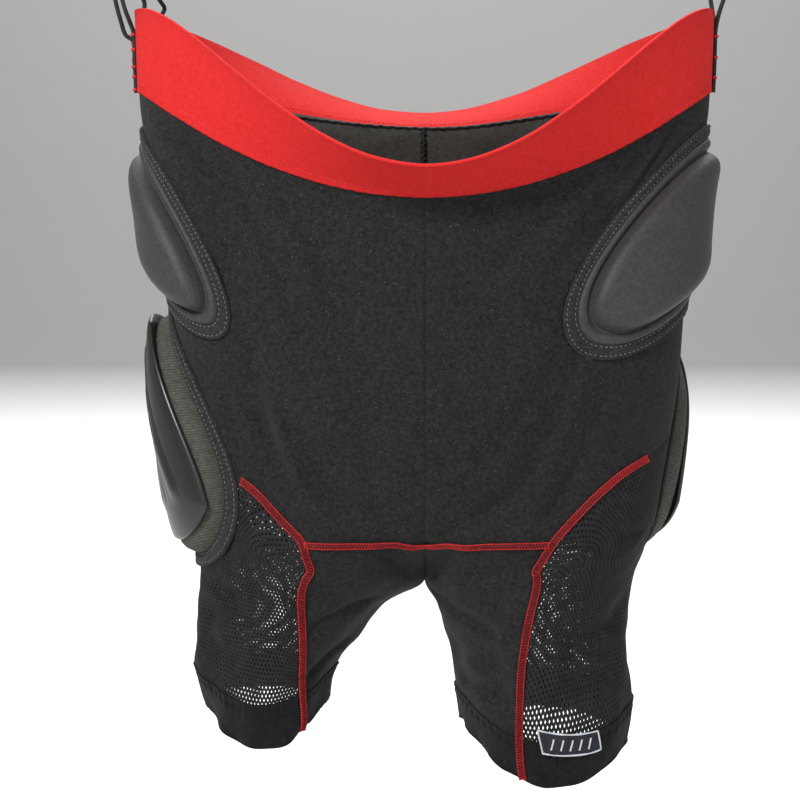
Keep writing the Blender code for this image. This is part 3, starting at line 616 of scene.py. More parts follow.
# %% [markdown]
# ## Hanging cords
# The shorts hang from thin braided cords, sewn to the outside of the waistband at its two corners. Each
# leaves the band, rises into a loop over what holds it and comes back down to the band. The braid is a
# relief of crossing strands on a fine tube, which catches the light as the real one does.

# %% Cords
CORD_DIAMETER = 0.0028
CORD_STEP = 0.0078
CORD_SEWN = 0.0003 + CORD_DIAMETER / 2 + 0.0002  # its middle line above the surface, where it is sewn down
# name, side, places (share, ring) where it is sewn, the free route, and places where its other end is sewn
CORDS = (
    ("cord_left_outer", -1, ((0.5, 1.00), (0.5, 0.80), (0.5, 0.60), (0.5, 0.40)), (
        (-0.1862, -0.0008, -0.0480), (-0.1902, -0.0024, -0.0360), (-0.1932, -0.0028, -0.0240),
        (-0.1952, -0.0020, -0.0120), (-0.1960, 0.0000, -0.0050), (-0.1935, 0.0030, 0.0005),
        (-0.1890, 0.0070, 0.0010), (-0.1846, 0.0110, -0.0060), (-0.1810, 0.0160, -0.0150),
        (-0.1775, 0.0215, -0.0240)), ((0.55, 0.12), (0.55, 0.30), (0.55, 0.55))),
    ("cord_left_inner", -1, ((0.48, 0.72), (0.48, 0.52), (0.48, 0.32)), (
        (-0.1852, -0.0092, -0.0350), (-0.1884, -0.0084, -0.0240), (-0.1912, -0.0074, -0.0130),
        (-0.1922, -0.0066, -0.0050), (-0.1898, -0.0040, 0.0010), (-0.1850, 0.0020, 0.0012),
        (-0.1786, 0.0120, -0.0050), (-0.1724, 0.0260, -0.0150), (-0.1670, 0.0410, -0.0240)),
        ((0.59, 0.06), (0.59, 0.25))),
    ("cord_right", 1, ((0.48, 1.00), (0.48, 0.76), (0.48, 0.52), (0.48, 0.30)), (
        (0.1826, -0.0100, -0.0350), (0.1862, -0.0076, -0.0250), (0.1900, -0.0040, -0.0130),
        (0.1908, -0.0010, -0.0050), (0.1880, 0.0040, 0.0008), (0.1836, 0.0080, 0.0004),
        (0.1812, 0.0110, -0.0080), (0.1806, 0.0140, -0.0190)),
        ((0.52, 0.10), (0.52, 0.30), (0.52, 0.55))),
)
BRAID_STRANDS, BRAID_PITCH, BRAID_STEP = 8, 0.009, 0.0006


def braid(u, metres):
    """Crossing strands: two sets of ridges that wind opposite ways, each over and under the other."""
    round_it, along_it = BRAID_STRANDS / 2 * u, metres / BRAID_PITCH * BRAID_STRANDS / 2
    one, two = np.sin(math.tau * (round_it + along_it)), np.sin(math.tau * (round_it - along_it))
    return 0.95 + 0.05 * np.maximum(one, two)


for name, side, start, free, end in CORDS:
    sewn = [surface(side, *np.array(places).T, CORD_SEWN) for places in (start, end)]
    route = smooth_route([*sewn[0], *np.array(free), *sewn[1]], CORD_STEP)
    bm = bmesh.new()
    tube(bm, smooth_route(route, BRAID_STEP), CORD_DIAMETER / 2, 24, braid)
    made = piece(name + "_braid", bm, [braided_cord], name, weld=0)

# %% [markdown]
# ## Waistband
# The band is one loop of red knitted elastic, folded over at both edges. A closed ring of grid makes it,
# with a low bead along each edge, the needle line that holds the cloth near its lower edge, and the small
# puckers that stretching leaves there.

# %% Waistband
BAND_WALL = 0.0020
BAND_LIFT = 0.0008
BAND_END = 0.998
BAND_ROUND, BAND_TALL = 0.96, 0.050
BAND_STITCH_SHARE = 0.86


def on_both(u, ring, lift):
    """Surface points for places on the whole way round: the right half first, then the left."""
    share = np.where(u <= 0.5, u * 2, 2 - u * 2)
    points = np.empty((len(u), 3))
    for side, mask in ((1, u <= 0.5), (-1, u > 0.5)):
        if mask.any():
            points[mask] = surface(side, share[mask], ring[mask], lift[mask])
    return points


def lay_band(u, v):
    edge = bell(v, 0.05) + bell(1 - v, 0.05)
    needle = bell(v - BAND_STITCH_SHARE, 0.018)
    pucker = np.sin(u * math.tau * 132) * np.clip((v - 0.7) / 0.3, 0, 1) ** 2
    wander = np.sin(u * math.tau * 21 + 0.7) * 0.4 + np.sin(u * math.tau * 34 + 2.0) * 0.3
    lift = BAND_LIFT + 0.00025 * edge - 0.00012 * needle + 0.00016 * pucker + 0.00025 * wander
    return on_both(u, v * BAND_END, lift), np.stack([u * BAND_ROUND, v * BAND_TALL], axis=1)


bm = bmesh.new()
laid_grid(bm, 720, 30, lay_band)
band = piece("waistband_elastic", bm, [red_elastic], "waistband", 5e-4, BAND_WALL, 0)
tally(band)

# %% [markdown]
# ## Seams of the waistband
# A row of short needle stitches runs round the band above its lower edge, outside and inside. The elastic
# is joined into a loop at the centre front, where two upright rows of thread cross it. Inside, a black
# overlock binds the cut edge of the cloth, so a dark bead shows below the band at the back.

# %% Needle rows and overlock of the waistband
def row_on(side_places, lift, pick=cloth):
    """Points and normals of places given as (side, share, ring)."""
    rows = [(pick(side, share, ring, lift)[0], normals_of(side, np.array([share]), np.array([ring]))[0])
            for side, share, ring in side_places]
    return np.array([point for point, _ in rows]), np.array([normal for _, normal in rows])


def sew(bm, points, normals, length, thick):
    """One stitch between each pair of neighbouring points."""
    for a, b, normal in zip(points, points[1:], normals):
        stitch(bm, (a + b) / 2, b - a, normal, length, thick)


BAND_STITCHES, JOIN_STITCHES = 360, 25
BAND_NEEDLE, JOIN_NEEDLE = (0.0019, 0.00055), (0.0015, 0.0005)  # length and thickness of a stitch
JOIN_SHARES = (0.004, 0.036)
OVERLOCK_RADIUS, OVERLOCK_DEEP = 0.0011, 0.0010

bm = bmesh.new()
turns = np.linspace(0, 1, BAND_STITCHES + 1)
ring = np.full(len(turns), BAND_STITCH_SHARE * BAND_END)
for lift in (BAND_LIFT, BAND_LIFT - BAND_WALL - 0.0002):
    points = on_both(turns, ring, np.full(len(turns), lift))
    sew(bm, points, unit(points * (1, 2, 0)), *BAND_NEEDLE)
for share in JOIN_SHARES:
    places = [(1, share, ring) for ring in np.linspace(0.04, 0.96, JOIN_STITCHES + 1)]
    sew(bm, *row_on(places, BAND_LIFT + 0.0001, surface), *JOIN_NEEDLE)
needles = piece("waistband_stitches", bm, [red_thread], weld=0)

bm = bmesh.new()
turns = np.linspace(0, 1, 901)
ring = 1.045 + 0.010 * np.sin(turns * math.tau * 150) + 0.012 * np.sin(turns * math.tau * 11)
line = on_both(turns, ring, np.full(len(turns), -BAND_WALL - OVERLOCK_DEEP))
tube(bm, line[:-1], OVERLOCK_RADIUS, 6, beads(0.15, 0.0016))
overlock = piece("waist_overlock", bm, [dark_thread], weld=0)
tally(needles, overlock)

# %% [markdown]
# ## The edges that panels meet on
# The mesh meets the knit on a curve that falls from the side of the body and then runs down the leg. It is
# given as shares at rings for the leg, and as rings at shares for the body, with smooth curves between.

# %% The edges that panels meet on
LEG_SEAM = {
    -1: ((8, 0.190), (9, 0.252), (10, 0.226), (11, 0.184), (12, 0.160), (13, 0.150)),
    1: ((8, 0.190), (9, 0.246), (10, 0.236), (11, 0.212), (12, 0.196), (13, 0.198)),
}
SEAM_START = {-1: 0.275, 1: 0.350}
MESH_TOP = ((0.190, 8.00), (0.205, 7.70), (0.235, 7.15), (0.280, 6.85), (0.350, 6.70), (0.500, 6.45))


def curve_value(table, at):
    """Height of a smooth curve through (position, value) pairs."""
    places, values = np.array(table).T
    i = np.clip(np.searchsorted(places, at) - 1, 0, len(places) - 2)
    slopes = np.gradient(values, places)
    step = places[i + 1] - places[i]
    t = np.clip((at - places[i]) / step, 0, 1)
    return ((2 * t**3 - 3 * t**2 + 1) * values[i] + (t**3 - 2 * t**2 + t) * step * slopes[i]
            + (3 * t**2 - 2 * t**3) * values[i + 1] + (t**3 - t**2) * step * slopes[i + 1])


def leg_seam_share(side, ring):
    return curve_value(LEG_SEAM[side], np.maximum(ring, CROTCH_SEAM))


def panel_bottom(share):
    """The ring where a body panel ends, from the centre to the side."""
    from_centre = np.minimum(share, 1 - share)
    corner = MESH_TOP[0][0]
    on_mesh = curve_value(MESH_TOP, np.maximum(from_centre, corner))
    return np.where(from_centre <= corner, CROTCH_SEAM, on_mesh)


def down_side(side, ring):
    """Metres below the waist's corner along the side, for the pattern."""
    return -HANG_DROP - between_rings(side, ring)[:, 0]


print("mesh top, from ring", MESH_TOP[0][1], "to ring", MESH_TOP[-1][1])

# %% [markdown]
# ## Body panels
# Four panels of black knit make the body, and meet at the centre front, the centre back and the crotch
# seam. Each is one fine grid laid on the surface with its folds, and a wall gives it thickness. The
# photograph shows that its inside is a plainer and paler face of the cloth, so the inner wall has a finish
# of its own.

# %% Body panels
PANEL_TOP = 0.955  # the ring where the cloth starts, just under the band
UNDER = -0.0001
PANEL_GRID, INSIDE_GRID = (110, 150), (50, 110)


def body_panel(side, word, place):
    def lay(u, v):
        share = u * 0.5 if place == "front" else 0.5 + u * 0.5
        ring = PANEL_TOP + (panel_bottom(share) - PANEL_TOP) * v
        return cloth(side, share, ring, UNDER), np.stack([share * FOLD_ROUND, down_side(side, ring)], axis=1)

    bm = bmesh.new()
    laid_grid(bm, *PANEL_GRID, lay)
    return piece(f"{place}_knit_{word}", bm, [black_knit, knit_inside],
                 f"{place}_panel_{word}", wall=CLOTH_WALL, axis=0)


body_cloth = [body_panel(side, word, place) for side, word in SIDES for place in ("front", "back")]
tally(*body_cloth)

# %% [markdown]
# ## Centre seams
# The halves are joined by a fine seam at the centre front and the centre back. Outside it is a thin tube of
# thread sunk into the cloth and darker than the knit, so it is both the seam's thread and the painted shade
# where both edges roll under; inside it is an overlocked ridge, which is plain to see at the centre back
# below the band.

# %% Centre seams
def centre_line(name, rings, lift, sway, radius, relief):
    """Tubes at the centre front and the centre back, with a little sway from side to side."""
    bm = bmesh.new()
    for share in (0.0, 1.0):
        line = cloth(1, np.full(len(rings), share), rings, lift)
        line[:, 0] = sway * np.sin(np.arange(len(rings)) * 0.55)
        tube(bm, line, radius, 6, relief)
    return piece(name, bm, [dark_thread], weld=0)


# outside seam line: real thread, drawn dark as the painted shade of the groove where the edges roll under
centre_seams_and_shade = centre_line("centre_seams_and_shade", np.linspace(1.0, 9.0, 480), lift=-0.0008, sway=0,
                           radius=0.0008, relief=beads(0.2, 0.0022))
inner_ridges = centre_line("inner_ridges", np.linspace(1.04, 7.9, 700), lift=-CLOTH_WALL - 0.0012,
                           sway=0.0008, radius=0.0014, relief=beads(0.2, 0.0018))
tally(centre_seams_and_shade, inner_ridges)

# %% [markdown]
# ## Mesh panels
# The outside of each thigh is a coarse warp-knitted mesh: staggered upright holes with a strand between
# them. A grid of rectangles is poked to its centres and its first edges are dissolved, which leaves a
# lattice of diamonds. Insetting each diamond and removing what is left inside it opens the holes, so the
# light really passes through.

# %% Mesh panels
MESH_WIDTH, MESH_HEIGHT = 0.0031, 0.0044
STRAND = 0.00074
MESH_WALL = 0.0007
LEG_AXIS = 0.085  # how far the middle of a leg is from the middle of the body
MESH_SIZE = {-1: (0.262, 0.136), 1: (0.250, 0.150)}
TUCK = 0.06  # how far, in rings, the leg's cloth runs on under the hem


def mesh_place(side, u, v):
    """Share and ring of a place on the mesh panel, from its top edge to the hem."""
    level = CROTCH_SEAM + (HEM_TOP - CROTCH_SEAM) * v
    seam = leg_seam_share(side, level)
    corner = MESH_TOP[0][0]
    top = panel_bottom(corner + u * (1 - 2 * corner))
    return seam + u * (1 - 2 * seam), top + (HEM_TOP + TUCK - top) * v


def mesh_panel(side, word):
    width, height = MESH_SIZE[side]
    across, down = round(width / MESH_WIDTH), round(height / MESH_HEIGHT)
    bm = bmesh.new()
    bmesh.ops.create_grid(bm, x_segments=across, y_segments=down, size=0.5)
    first_edges = [e for e in bm.edges if not e.is_boundary]
    for vert in bm.verts:
        vert.co = ((vert.co.x + 0.5) * width, (0.5 - vert.co.y) * height, 0)
    bmesh.ops.poke(bm, faces=bm.faces)
    bmesh.ops.dissolve_edges(bm, edges=first_edges, use_verts=False)
    diamonds = [f for f in bm.faces if len(f.verts) == 4]
    bmesh.ops.inset_individual(bm, faces=diamonds, thickness=STRAND, use_even_offset=True)
    bmesh.ops.delete(bm, geom=diamonds, context="FACES_ONLY")
    flat = np.array([v.co[:2] for v in bm.verts]) / (width, height)
    points = cloth(side, *mesh_place(side, flat[:, 0], flat[:, 1]))
    layer = bm.loops.layers.uv.verify()
    for vert, point, (a, b) in zip(bm.verts, points, flat * (width, height)):
        vert.co = point
        for loop in vert.link_loops:
            loop[layer].uv = (a, b)
    return piece(f"mesh_{word}", bm, [black_mesh], f"mesh_panel_{word}", 0, MESH_WALL,
                 side * LEG_AXIS)


meshes = [mesh_panel(side, word) for side, word in SIDES]
tally(*meshes)

# %% [markdown]
# ## Inside leg and hems
# Between the crotch and the mesh each leg is closed by a panel of the body's knit. Below them a doubled
# band of the same knit goes round the leg opening. It hangs in uneven waves, because nothing holds it
# open.

# %% Inside leg panels and hems
HEM_WALL = 0.0022
HEM_STITCH_SHARE = 0.14
HEM_ROUND, HEM_TALL = 0.30, 0.024


def inside_leg(side, word):
    bm = bmesh.new()

    def lay_half(back):
        def lay(u, v):
            ring = CROTCH_SEAM + (HEM_TOP + TUCK - CROTCH_SEAM) * v
            share = leg_seam_share(side, ring) * u
            share = 1 - share if back else share
            points = cloth(side, share, ring, UNDER)
            return points, np.stack([share * FOLD_ROUND, down_side(side, ring)], axis=1)
        return lay

    for back in (False, True):
        laid_grid(bm, *INSIDE_GRID, lay_half(back))
    return piece(f"inside_leg_{word}", bm, [black_knit, knit_inside], f"inner_leg_{word}",
                 1e-5, CLOTH_WALL, side * LEG_AXIS)


def leg_hem(side, word):
    def lay(u, v):
        ring = HEM_TOP + (HEM_BOTTOM - HEM_TOP) * v
        flare = 0.0012 * np.sin(u * math.tau * 7 + side) + 0.0008 * np.sin(u * math.tau * 13 + 2 * side)
        edge = 0.0004 * (bell(v, 0.06) + bell(1 - v, 0.06))
        needle = -0.0004 * bell(v - HEM_STITCH_SHARE, 0.03)
        press = 0.0005 * np.sin(u * math.tau * 60) * bell(v - HEM_STITCH_SHARE, 0.12)
        lift = 0.0004 + flare * v + edge + needle + press
        return cloth(side, u % 1.0, ring, lift), np.stack([u * HEM_ROUND, v * HEM_TALL], axis=1)

    bm = bmesh.new()
    laid_grid(bm, 260, 26, lay)
    return piece(f"hem_{word}", bm, [hem_knit], f"leg_hem_{word}", 5e-4, HEM_WALL,
                 side * LEG_AXIS)


insides = [inside_leg(side, word) for side, word in SIDES]
hems = [leg_hem(side, word) for side, word in SIDES]
tally(*insides, *hems)

# %% [markdown]
# ## Red flat seams
# A flat covering stitch joins the mesh to the knit: two needle rows with a looper thread that zigzags
# between them over a dark ground. Each thread is a thin tube along its own line, so the ladder of red and
# black shows at its real pitch.

# %% Red seams
SEAM_WIDTH, CROTCH_WIDTH = 0.0050, 0.0042
LADDER_PITCH = 0.0017
ZIGZAG_RADIUS, ROW_RADIUS = 0.00036, 0.00020
SEAM_LIFT, GROUND_HEIGHT, THREAD_RISE = 0.0006, 0.0006, 0.0007
EASING = 24  # times that a seam's corner is smoothed


def place_line(places, step):
    """Evenly spaced points on the cloth along (side, share, ring) places, with their normals. The places
    are eased first, so the line turns its corner in a curve."""
    eased = np.array([(side * share, ring) for side, share, ring in places])
    for _ in range(EASING):
        eased[1:-1] = (eased[:-2] + eased[1:-1] * 2 + eased[2:]) / 4
    points, normals = row_on([(p[0], abs(a), b) for p, (a, b) in zip(places, eased)], SEAM_LIFT)
    run = metres_along(points)
    at = np.linspace(0, run[-1], round(run[-1] / step) + 1)
    points, normals = at_metres(at, run, points), unit(at_metres(at, run, normals))
    return points, normals, unit(np.cross(normals, unit(np.gradient(points, axis=0))))


def flat_seam(name, places, width, node):
    """A covering stitch along places: ground, needle rows and zigzag threads, as two pieces."""
    points, normals, across = place_line(places, LADDER_PITCH / 2)
    bm = bmesh.new()
    n = len(points) - 1

    def lay(u, v):
        i = np.rint(v * n).astype(int)
        turn = math.tau * u
        out = (np.cos(turn) * width / 2)[:, None] * across[i]
        up = (np.maximum(np.sin(turn), -0.6) * GROUND_HEIGHT)[:, None] * normals[i]
        return points[i] + out + up, np.stack([u * width, v * n * LADDER_PITCH / 2], axis=1)

    laid_grid(bm, 12, n, lay)
    bmesh.ops.remove_doubles(bm, verts=bm.verts, dist=1e-6)
    bmesh.ops.holes_fill(bm, edges=open_edges(bm), sides=13)
    ground = piece(name + "_ground", bm, [red_ground], node, weld=0)

    bm = bmesh.new()
    lift = normals * THREAD_RISE
    zigzag = np.where(np.arange(len(points)) % 2 == 0, 1.0, -1.0)[:, None]
    tube(bm, points + lift * 1.1 + across * zigzag * width * 0.48, ZIGZAG_RADIUS, 5)
    for edge in (-1, 1):
        tube(bm, points + lift * 0.85 + across * edge * width * 0.40, ROW_RADIUS, 6,
             lambda u, m: 0.75 + 0.25 * np.abs(np.sin(math.pi * m / 0.0024)))
    return ground, piece(name + "_threads", bm, [red_thread], weld=0)


seams = []
for side, word in SIDES:
    shares = np.linspace(SEAM_START[side], MESH_TOP[0][0] + 0.002, 40)
    upper = [(side, s, float(r)) for s, r in zip(shares, panel_bottom(shares))]
    rings = np.linspace(CROTCH_SEAM + 0.1, HEM_BOTTOM - 0.04, 60)
    lower = [(side, float(s), float(r)) for s, r in zip(leg_seam_share(side, rings), rings)]
    seams += flat_seam(f"red_leg_seam_{word}", upper + lower, SEAM_WIDTH, f"leg_seam_{word}")
shares = np.linspace(0.0, MESH_TOP[0][0] + 0.010, 40)
crotch = [(-1, float(s), CROTCH_SEAM) for s in shares[:0:-1]] + [(1, float(s), CROTCH_SEAM) for s in shares]
seams += flat_seam("red_crotch_seam", crotch, CROTCH_WIDTH, "crotch_seam")
tally(*seams)

# %% [markdown]
# ## Places on the flat pattern
# A pad is cut flat and then bends round the hip. Its outline is drawn on the flat pattern, in metres
# forward of the side line and down from the waist's corner. A table of lengths along the surface turns
# such a place into a share and a ring.

# %% Flat pattern places and ovals
ROWS_A_RING = 10
TABLE_RINGS = np.linspace(0, HEM_BOTTOM, HEM_BOTTOM * ROWS_A_RING + 1)
TABLE_SHARES = np.linspace(0.04, 0.96, 93)
SIDE_COLUMN = len(TABLE_SHARES) // 2
PATTERN = {}
for side, _ in SIDES:
    rows = np.array([metres_along(bare_surface(side, TABLE_SHARES, np.full(len(TABLE_SHARES), ring)))
                     for ring in TABLE_RINGS])
    heights = bare_surface(side, np.full(len(TABLE_RINGS), 0.5), TABLE_RINGS)[:, 2]
    PATTERN[side] = (-HANG_DROP - heights, rows[:, [SIDE_COLUMN]] - rows)


def flat_places(side, forward, down):
    """Share and ring of places on the flat pattern."""
    drops, ahead = PATTERN[side]
    ring = np.interp(down, drops, TABLE_RINGS)
    low = np.minimum((ring * ROWS_A_RING).astype(int), len(TABLE_RINGS) - 2)
    t = (ring * ROWS_A_RING - low)[:, None]
    row = ahead[low] * (1 - t) + ahead[low + 1] * t
    i = np.clip((row > forward[:, None]).sum(axis=1) - 1, 0, len(TABLE_SHARES) - 2)
    each = np.arange(len(i))
    a, b = row[each, i], row[each, i + 1]
    return TABLE_SHARES[i] + (a - forward) / (a - b) * (TABLE_SHARES[1] - TABLE_SHARES[0]), ring


CAP_INSET = 0.030  # past this inset an outline shrinks towards its middle and isn't drawn in evenly


def oval(shape, inset, cosine, sine):
    """Flat pattern places of an egg-shaped outline drawn in by inset, with its own long and wide."""
    (forward0, down0), length, width, tilt, taper = shape
    even = np.minimum(inset, CAP_INSET)
    shrink = 1 - (inset - even) / (width / 2 - CAP_INSET)
    long = (length / 2 - even) * cosine * shrink
    wide = (width / 2 - even) * sine * (1 - taper * cosine) * shrink
    forward = forward0 + long * math.cos(tilt) + wide * math.sin(tilt)
    down = down0 + long * math.sin(tilt) - wide * math.cos(tilt)
    return forward, down, long, wide


def on_pattern(side, shape, inset, cosine, sine, height):
    """Points on the body for an oval's places, raised by height."""
    forward, down, long, wide = oval(shape, inset, cosine, sine)
    share, ring = flat_places(side, forward, down)
    return surface(side, share, ring, height), np.stack([long, wide], axis=1)


HIP_SIZE = {-1: (0.162, 0.088), 1: (0.178, 0.118)}
THIGH_SIZE = (0.172, 0.108)
# middle of the oval on the pattern, length, width, tilt and how much it tapers
HIP_SHAPE = {-1: ((0.010, 0.127), *HIP_SIZE[-1], math.radians(41), -0.10),
             1: ((0.035, 0.130), *HIP_SIZE[1], math.radians(18), -0.10)}
THIGH_SHAPE = {-1: ((0.002, 0.260), *THIGH_SIZE, math.radians(70), -0.13),
               1: ((-0.050, 0.259), *THIGH_SIZE, math.radians(78), -0.13)}
print("hip pad", HIP_SIZE, "thigh guard", THIGH_SIZE)

# %% [markdown]
# ## Forms of a moulded pad
# A pad is a square grid whose rings follow the outline inwards, like the contour lines of a hill: each
# ring of the grid has an inset and a height from a given profile. There is no pole in the middle,
# so the shading shows no pinch. The rim of the grid is turned down to the cloth and closed underneath. A
# cloth binding covers a pad's edge, held by two rows of pale needle stitches.

# %% Pads and bindings
BINDING_WIDTH, BINDING_THICK = 0.0095, 0.0026
NEEDLE_INSETS = (0.0020, BINDING_WIDTH - 0.0020)
NEEDLE_HEIGHT = BINDING_THICK * 0.86
NEEDLE_PITCH, NEEDLE_LENGTH, NEEDLE_THICK = 0.0031, 0.0019, 0.00065


def moulded(name, side, shape, profile, rings, paint, node, relief, roundness=1.0):
    """A moulded form from a profile of (inset, height) pairs, spaced evenly by length over the rings."""
    table = np.array(profile)
    run = metres_along(table)
    insets, heights = at_metres(np.linspace(0, run[-1], rings + 1), run, table).T
    insets[-1] = shape[2] / 2

    def lay(u, v):
        p, q = 2 * u - 1, 2 * v - 1
        m = np.maximum(np.abs(p), np.abs(q))
        level = np.rint((1 - m) * rings).astype(int)
        safe = np.maximum(m, 1e-9)
        pp, qq = p / safe, q / safe
        cosine = pp * np.sqrt(1 - roundness * qq**2 / 2)
        sine = qq * np.sqrt(1 - roundness * pp**2 / 2)
        inset = insets[level]
        _, _, long, wide = oval(shape, inset, cosine, sine)
        return on_pattern(side, shape, inset, cosine, sine, heights[level] + relief(long, wide, inset))

    bm = bmesh.new()
    laid_grid(bm, rings * 2, rings * 2, lay)
    centre = sum((v.co for v in bm.verts), Vector()) / len(bm.verts)
    skirt = bmesh.ops.extrude_edge_only(bm, edges=open_edges(bm))["geom"]
    lower = [g for g in skirt if isinstance(g, bmesh.types.BMVert)]
    bmesh.ops.scale(bm, verts=lower, vec=(0.97, 0.97, 0.97), space=Matrix.Translation(-centre))
    bmesh.ops.holes_fill(bm, edges=open_edges(bm), sides=0)
    return piece(name, bm, [paint], node, weld=0)


def bound_edge(name, node, side, shape):
    """The binding strip round a pad, as a closed ring with a soft fold along both edges."""
    width, thick = BINDING_WIDTH, BINDING_THICK
    table = np.array((
        (0.0, 0.0001), (-0.0002, thick * 0.5), (0.0003, thick * 0.92), (0.0012, thick),
        (0.0020, thick * 0.78), (0.0028, thick * 0.98), (width * 0.5, thick * 1.12),
        (width - 0.0028, thick * 0.98), (width - 0.0020, thick * 0.78), (width - 0.0012, thick),
        (width - 0.0003, thick * 0.92), (width, thick * 0.4), (width - 0.0003, 0.0001), (0.0, 0.0001)))

    def lay(u, v):
        inset, height = table[np.rint(v * (len(table) - 1)).astype(int)].T
        angle = math.tau * u
        height = height + 0.00012 * np.sin(u * math.tau * 90) * (height > 0.001)
        points, _ = on_pattern(side, shape, inset, np.cos(angle), np.sin(angle), height)
        return points, np.stack([u * (shape[1] + shape[2]) * 1.55, inset], axis=1)

    bm = bmesh.new()
    laid_grid(bm, 300, len(table) - 1, lay)
    return piece(name, bm, [binding_cloth], node, weld=2e-5)


def needle_rows(name, side, shape):
    """Two rows of stitches round a pad, on its binding."""
    bm = bmesh.new()
    angle = np.linspace(0, math.tau, 721)
    level = np.full(len(angle), NEEDLE_HEIGHT)
    for inset in NEEDLE_INSETS:
        line, _ = on_pattern(side, shape, np.full(len(angle), inset), np.cos(angle), np.sin(angle), level)
        run = metres_along(line)
        at = np.arange(0, run[-1], NEEDLE_PITCH)
        points, ahead = at_metres(at, run, line), at_metres(at + NEEDLE_PITCH / 2, run, line)
        middle = points.mean(axis=0)
        for a, b in zip(points, ahead):
            out = (a - middle) * 0.2 + np.array([side, 0, 0])
            stitch(bm, a, b - a, out, NEEDLE_LENGTH, NEEDLE_THICK)
    return piece(name, bm, [pale_thread], weld=0)


def bind(kind, side, word, shape):
    """A pad's binding and its stitches."""
    return [bound_edge(f"{kind}_bound_{word}", f"{kind}_binding_{word}", side, shape),
            needle_rows(f"{kind}_stitches_{word}", side, shape)]


print("binding", BINDING_WIDTH, "wide, needle rows at", NEEDLE_INSETS)

# %% [markdown]
# ## Hip pads
# Each hip pad is moulded foam with a thin flange, a groove and a crowned dome, a little fuller at one end
# than at the other. The forms are crisp mouldings, so they are modelled directly, not filled and blown up
# as a cushion would be.

# %% Hip pads
FLANGE_INSET = BINDING_WIDTH + 0.0006
FOAM_EDGE = FLANGE_INSET - 0.0015
HIP_HEIGHT, FLANGE_HEIGHT, HIP_RINGS = 0.0150, 0.0050, 40
# distance in from the foam's edge, and height as a share: of the flange's height, then of the dome's
HIP_FLANGE = ((0.0004, 0.6), (0.0016, 0.9), (0.0040, 1), (0.0062, 0.9), (0.0074, 0.55), (0.0084, 0.60))
HIP_DOME = ((0.0094, 0.52), (0.0112, 0.76), (0.0140, 0.90), (0.0180, 0.98), (0.0230, 1))


def hip_profile(side):
    half, e = HIP_SIZE[side][1] / 2, FOAM_EDGE
    return ((e, 0.0006), *((e + a, FLANGE_HEIGHT * b) for a, b in HIP_FLANGE),
            *((e + a, HIP_HEIGHT * b) for a, b in HIP_DOME),
            (max(0.6 * half, e + 0.0270), HIP_HEIGHT * 0.985), (half, HIP_HEIGHT * 0.96))


def hip_relief(long, wide, inset):
    """The dome is fuller towards one end."""
    on_dome = np.clip((inset - 0.018) / 0.010, 0, 1)
    return on_dome * 0.0008 * np.sin(long * 30 + 0.6) * np.clip(inset / 0.04, 0, 1)


pads = []
for side, word in SIDES:
    pad = moulded(f"hip_foam_{word}", side, HIP_SHAPE[side], hip_profile(side), HIP_RINGS, moulded_foam,
                  f"hip_pad_{word}", hip_relief)
    pads += [pad, *bind("hip", side, word, HIP_SHAPE[side])]
tally(*pads)

# %% [markdown]
# ## Thigh guards
# A thigh guard is a thick cushion in ribbed cover cloth with a hard glossy shell on top. The shell is a
# long rounded plate with two raised ridges, a channel between them and two short pressed slots. It is one
# moulding, so its ridges are part of its height and not separate strips.

# %% Thigh guards
CUSHION_HEIGHT = 0.0126
RIB_PITCH, THIGH_RINGS = 0.0017, 60
SHELL_BASE = CUSHION_HEIGHT + 0.0005
SHELL_INSET = 0.0196
PLATE_RAISE, PLATE_LONGER = 0.005, 0.012
RIDGE_WIDE, RIDGE_HEIGHT = 0.0125, 0.0012
SLOTS_AT = (-0.026, 0.002)

# distance in from the edge and height: of the cushion, then of the shell above the cushion
CUSHION_PROFILE = (*((FOAM_EDGE + a, b) for a, b in (
    (0, 0.0006), (0.0003, 0.0034), (0.0012, 0.0062), (0.0032, 0.0094), (0.0060, 0.0116),
    (0.0095, CUSHION_HEIGHT), (0.0130, CUSHION_HEIGHT), (0.0200, CUSHION_HEIGHT - 0.0022))),
    (THIGH_SIZE[1] / 2, CUSHION_HEIGHT - 0.0036))
SHELL_PROFILE = (*((SHELL_INSET + a, SHELL_BASE + b) for a, b in (
    (0, 0), (-0.0003, 0.0012), (0.0004, 0.0024), (0.0020, 0.0032), (0.0060, 0.0042), (0.0140, 0.0054),
    (0.0240, 0.0064))), (THIGH_SIZE[1] / 2, SHELL_BASE + 0.0068))


def cushion_ribs(long, wide, inset):
    """Fine slanting ribs round the cushion's side."""
    on_side = np.clip((inset - FLANGE_INSET) / 0.002, 0, 1) * np.clip((0.024 - inset) / 0.003, 0, 1)
    return on_side * 0.00022 * np.sin(math.tau * (long + 0.55 * wide) / RIB_PITCH)


def band_along(off, half, edge):
    """1 along a strip's middle, falling to 0 past its edge."""
    return np.clip(half - np.abs(off) / edge, 0, 1)


def shell_relief(long, wide, inset):
    """Two long raised ridges, a channel between them, and two short slots in one ridge."""
    run = np.clip((0.052 - np.abs(long)) / 0.008, 0, 1)
    on_top = np.clip((inset - SHELL_INSET - 0.003) / 0.003, 0, 1)
    ridges = sum(RIDGE_HEIGHT * band_along(wide - w, 1.3, 0.0042) for w in (-RIDGE_WIDE, RIDGE_WIDE))
    channel = -0.0009 * band_along(wide, 1.2, 0.0032)
    slot = -0.0007 * band_along(wide - RIDGE_WIDE, 1.4, 0.0014)
    slots = sum(slot * np.clip((0.007 - np.abs(long - at)) / 0.002, 0, 1) for at in SLOTS_AT)
    return (np.minimum(ridges, RIDGE_HEIGHT) + channel + slots) * run * on_top


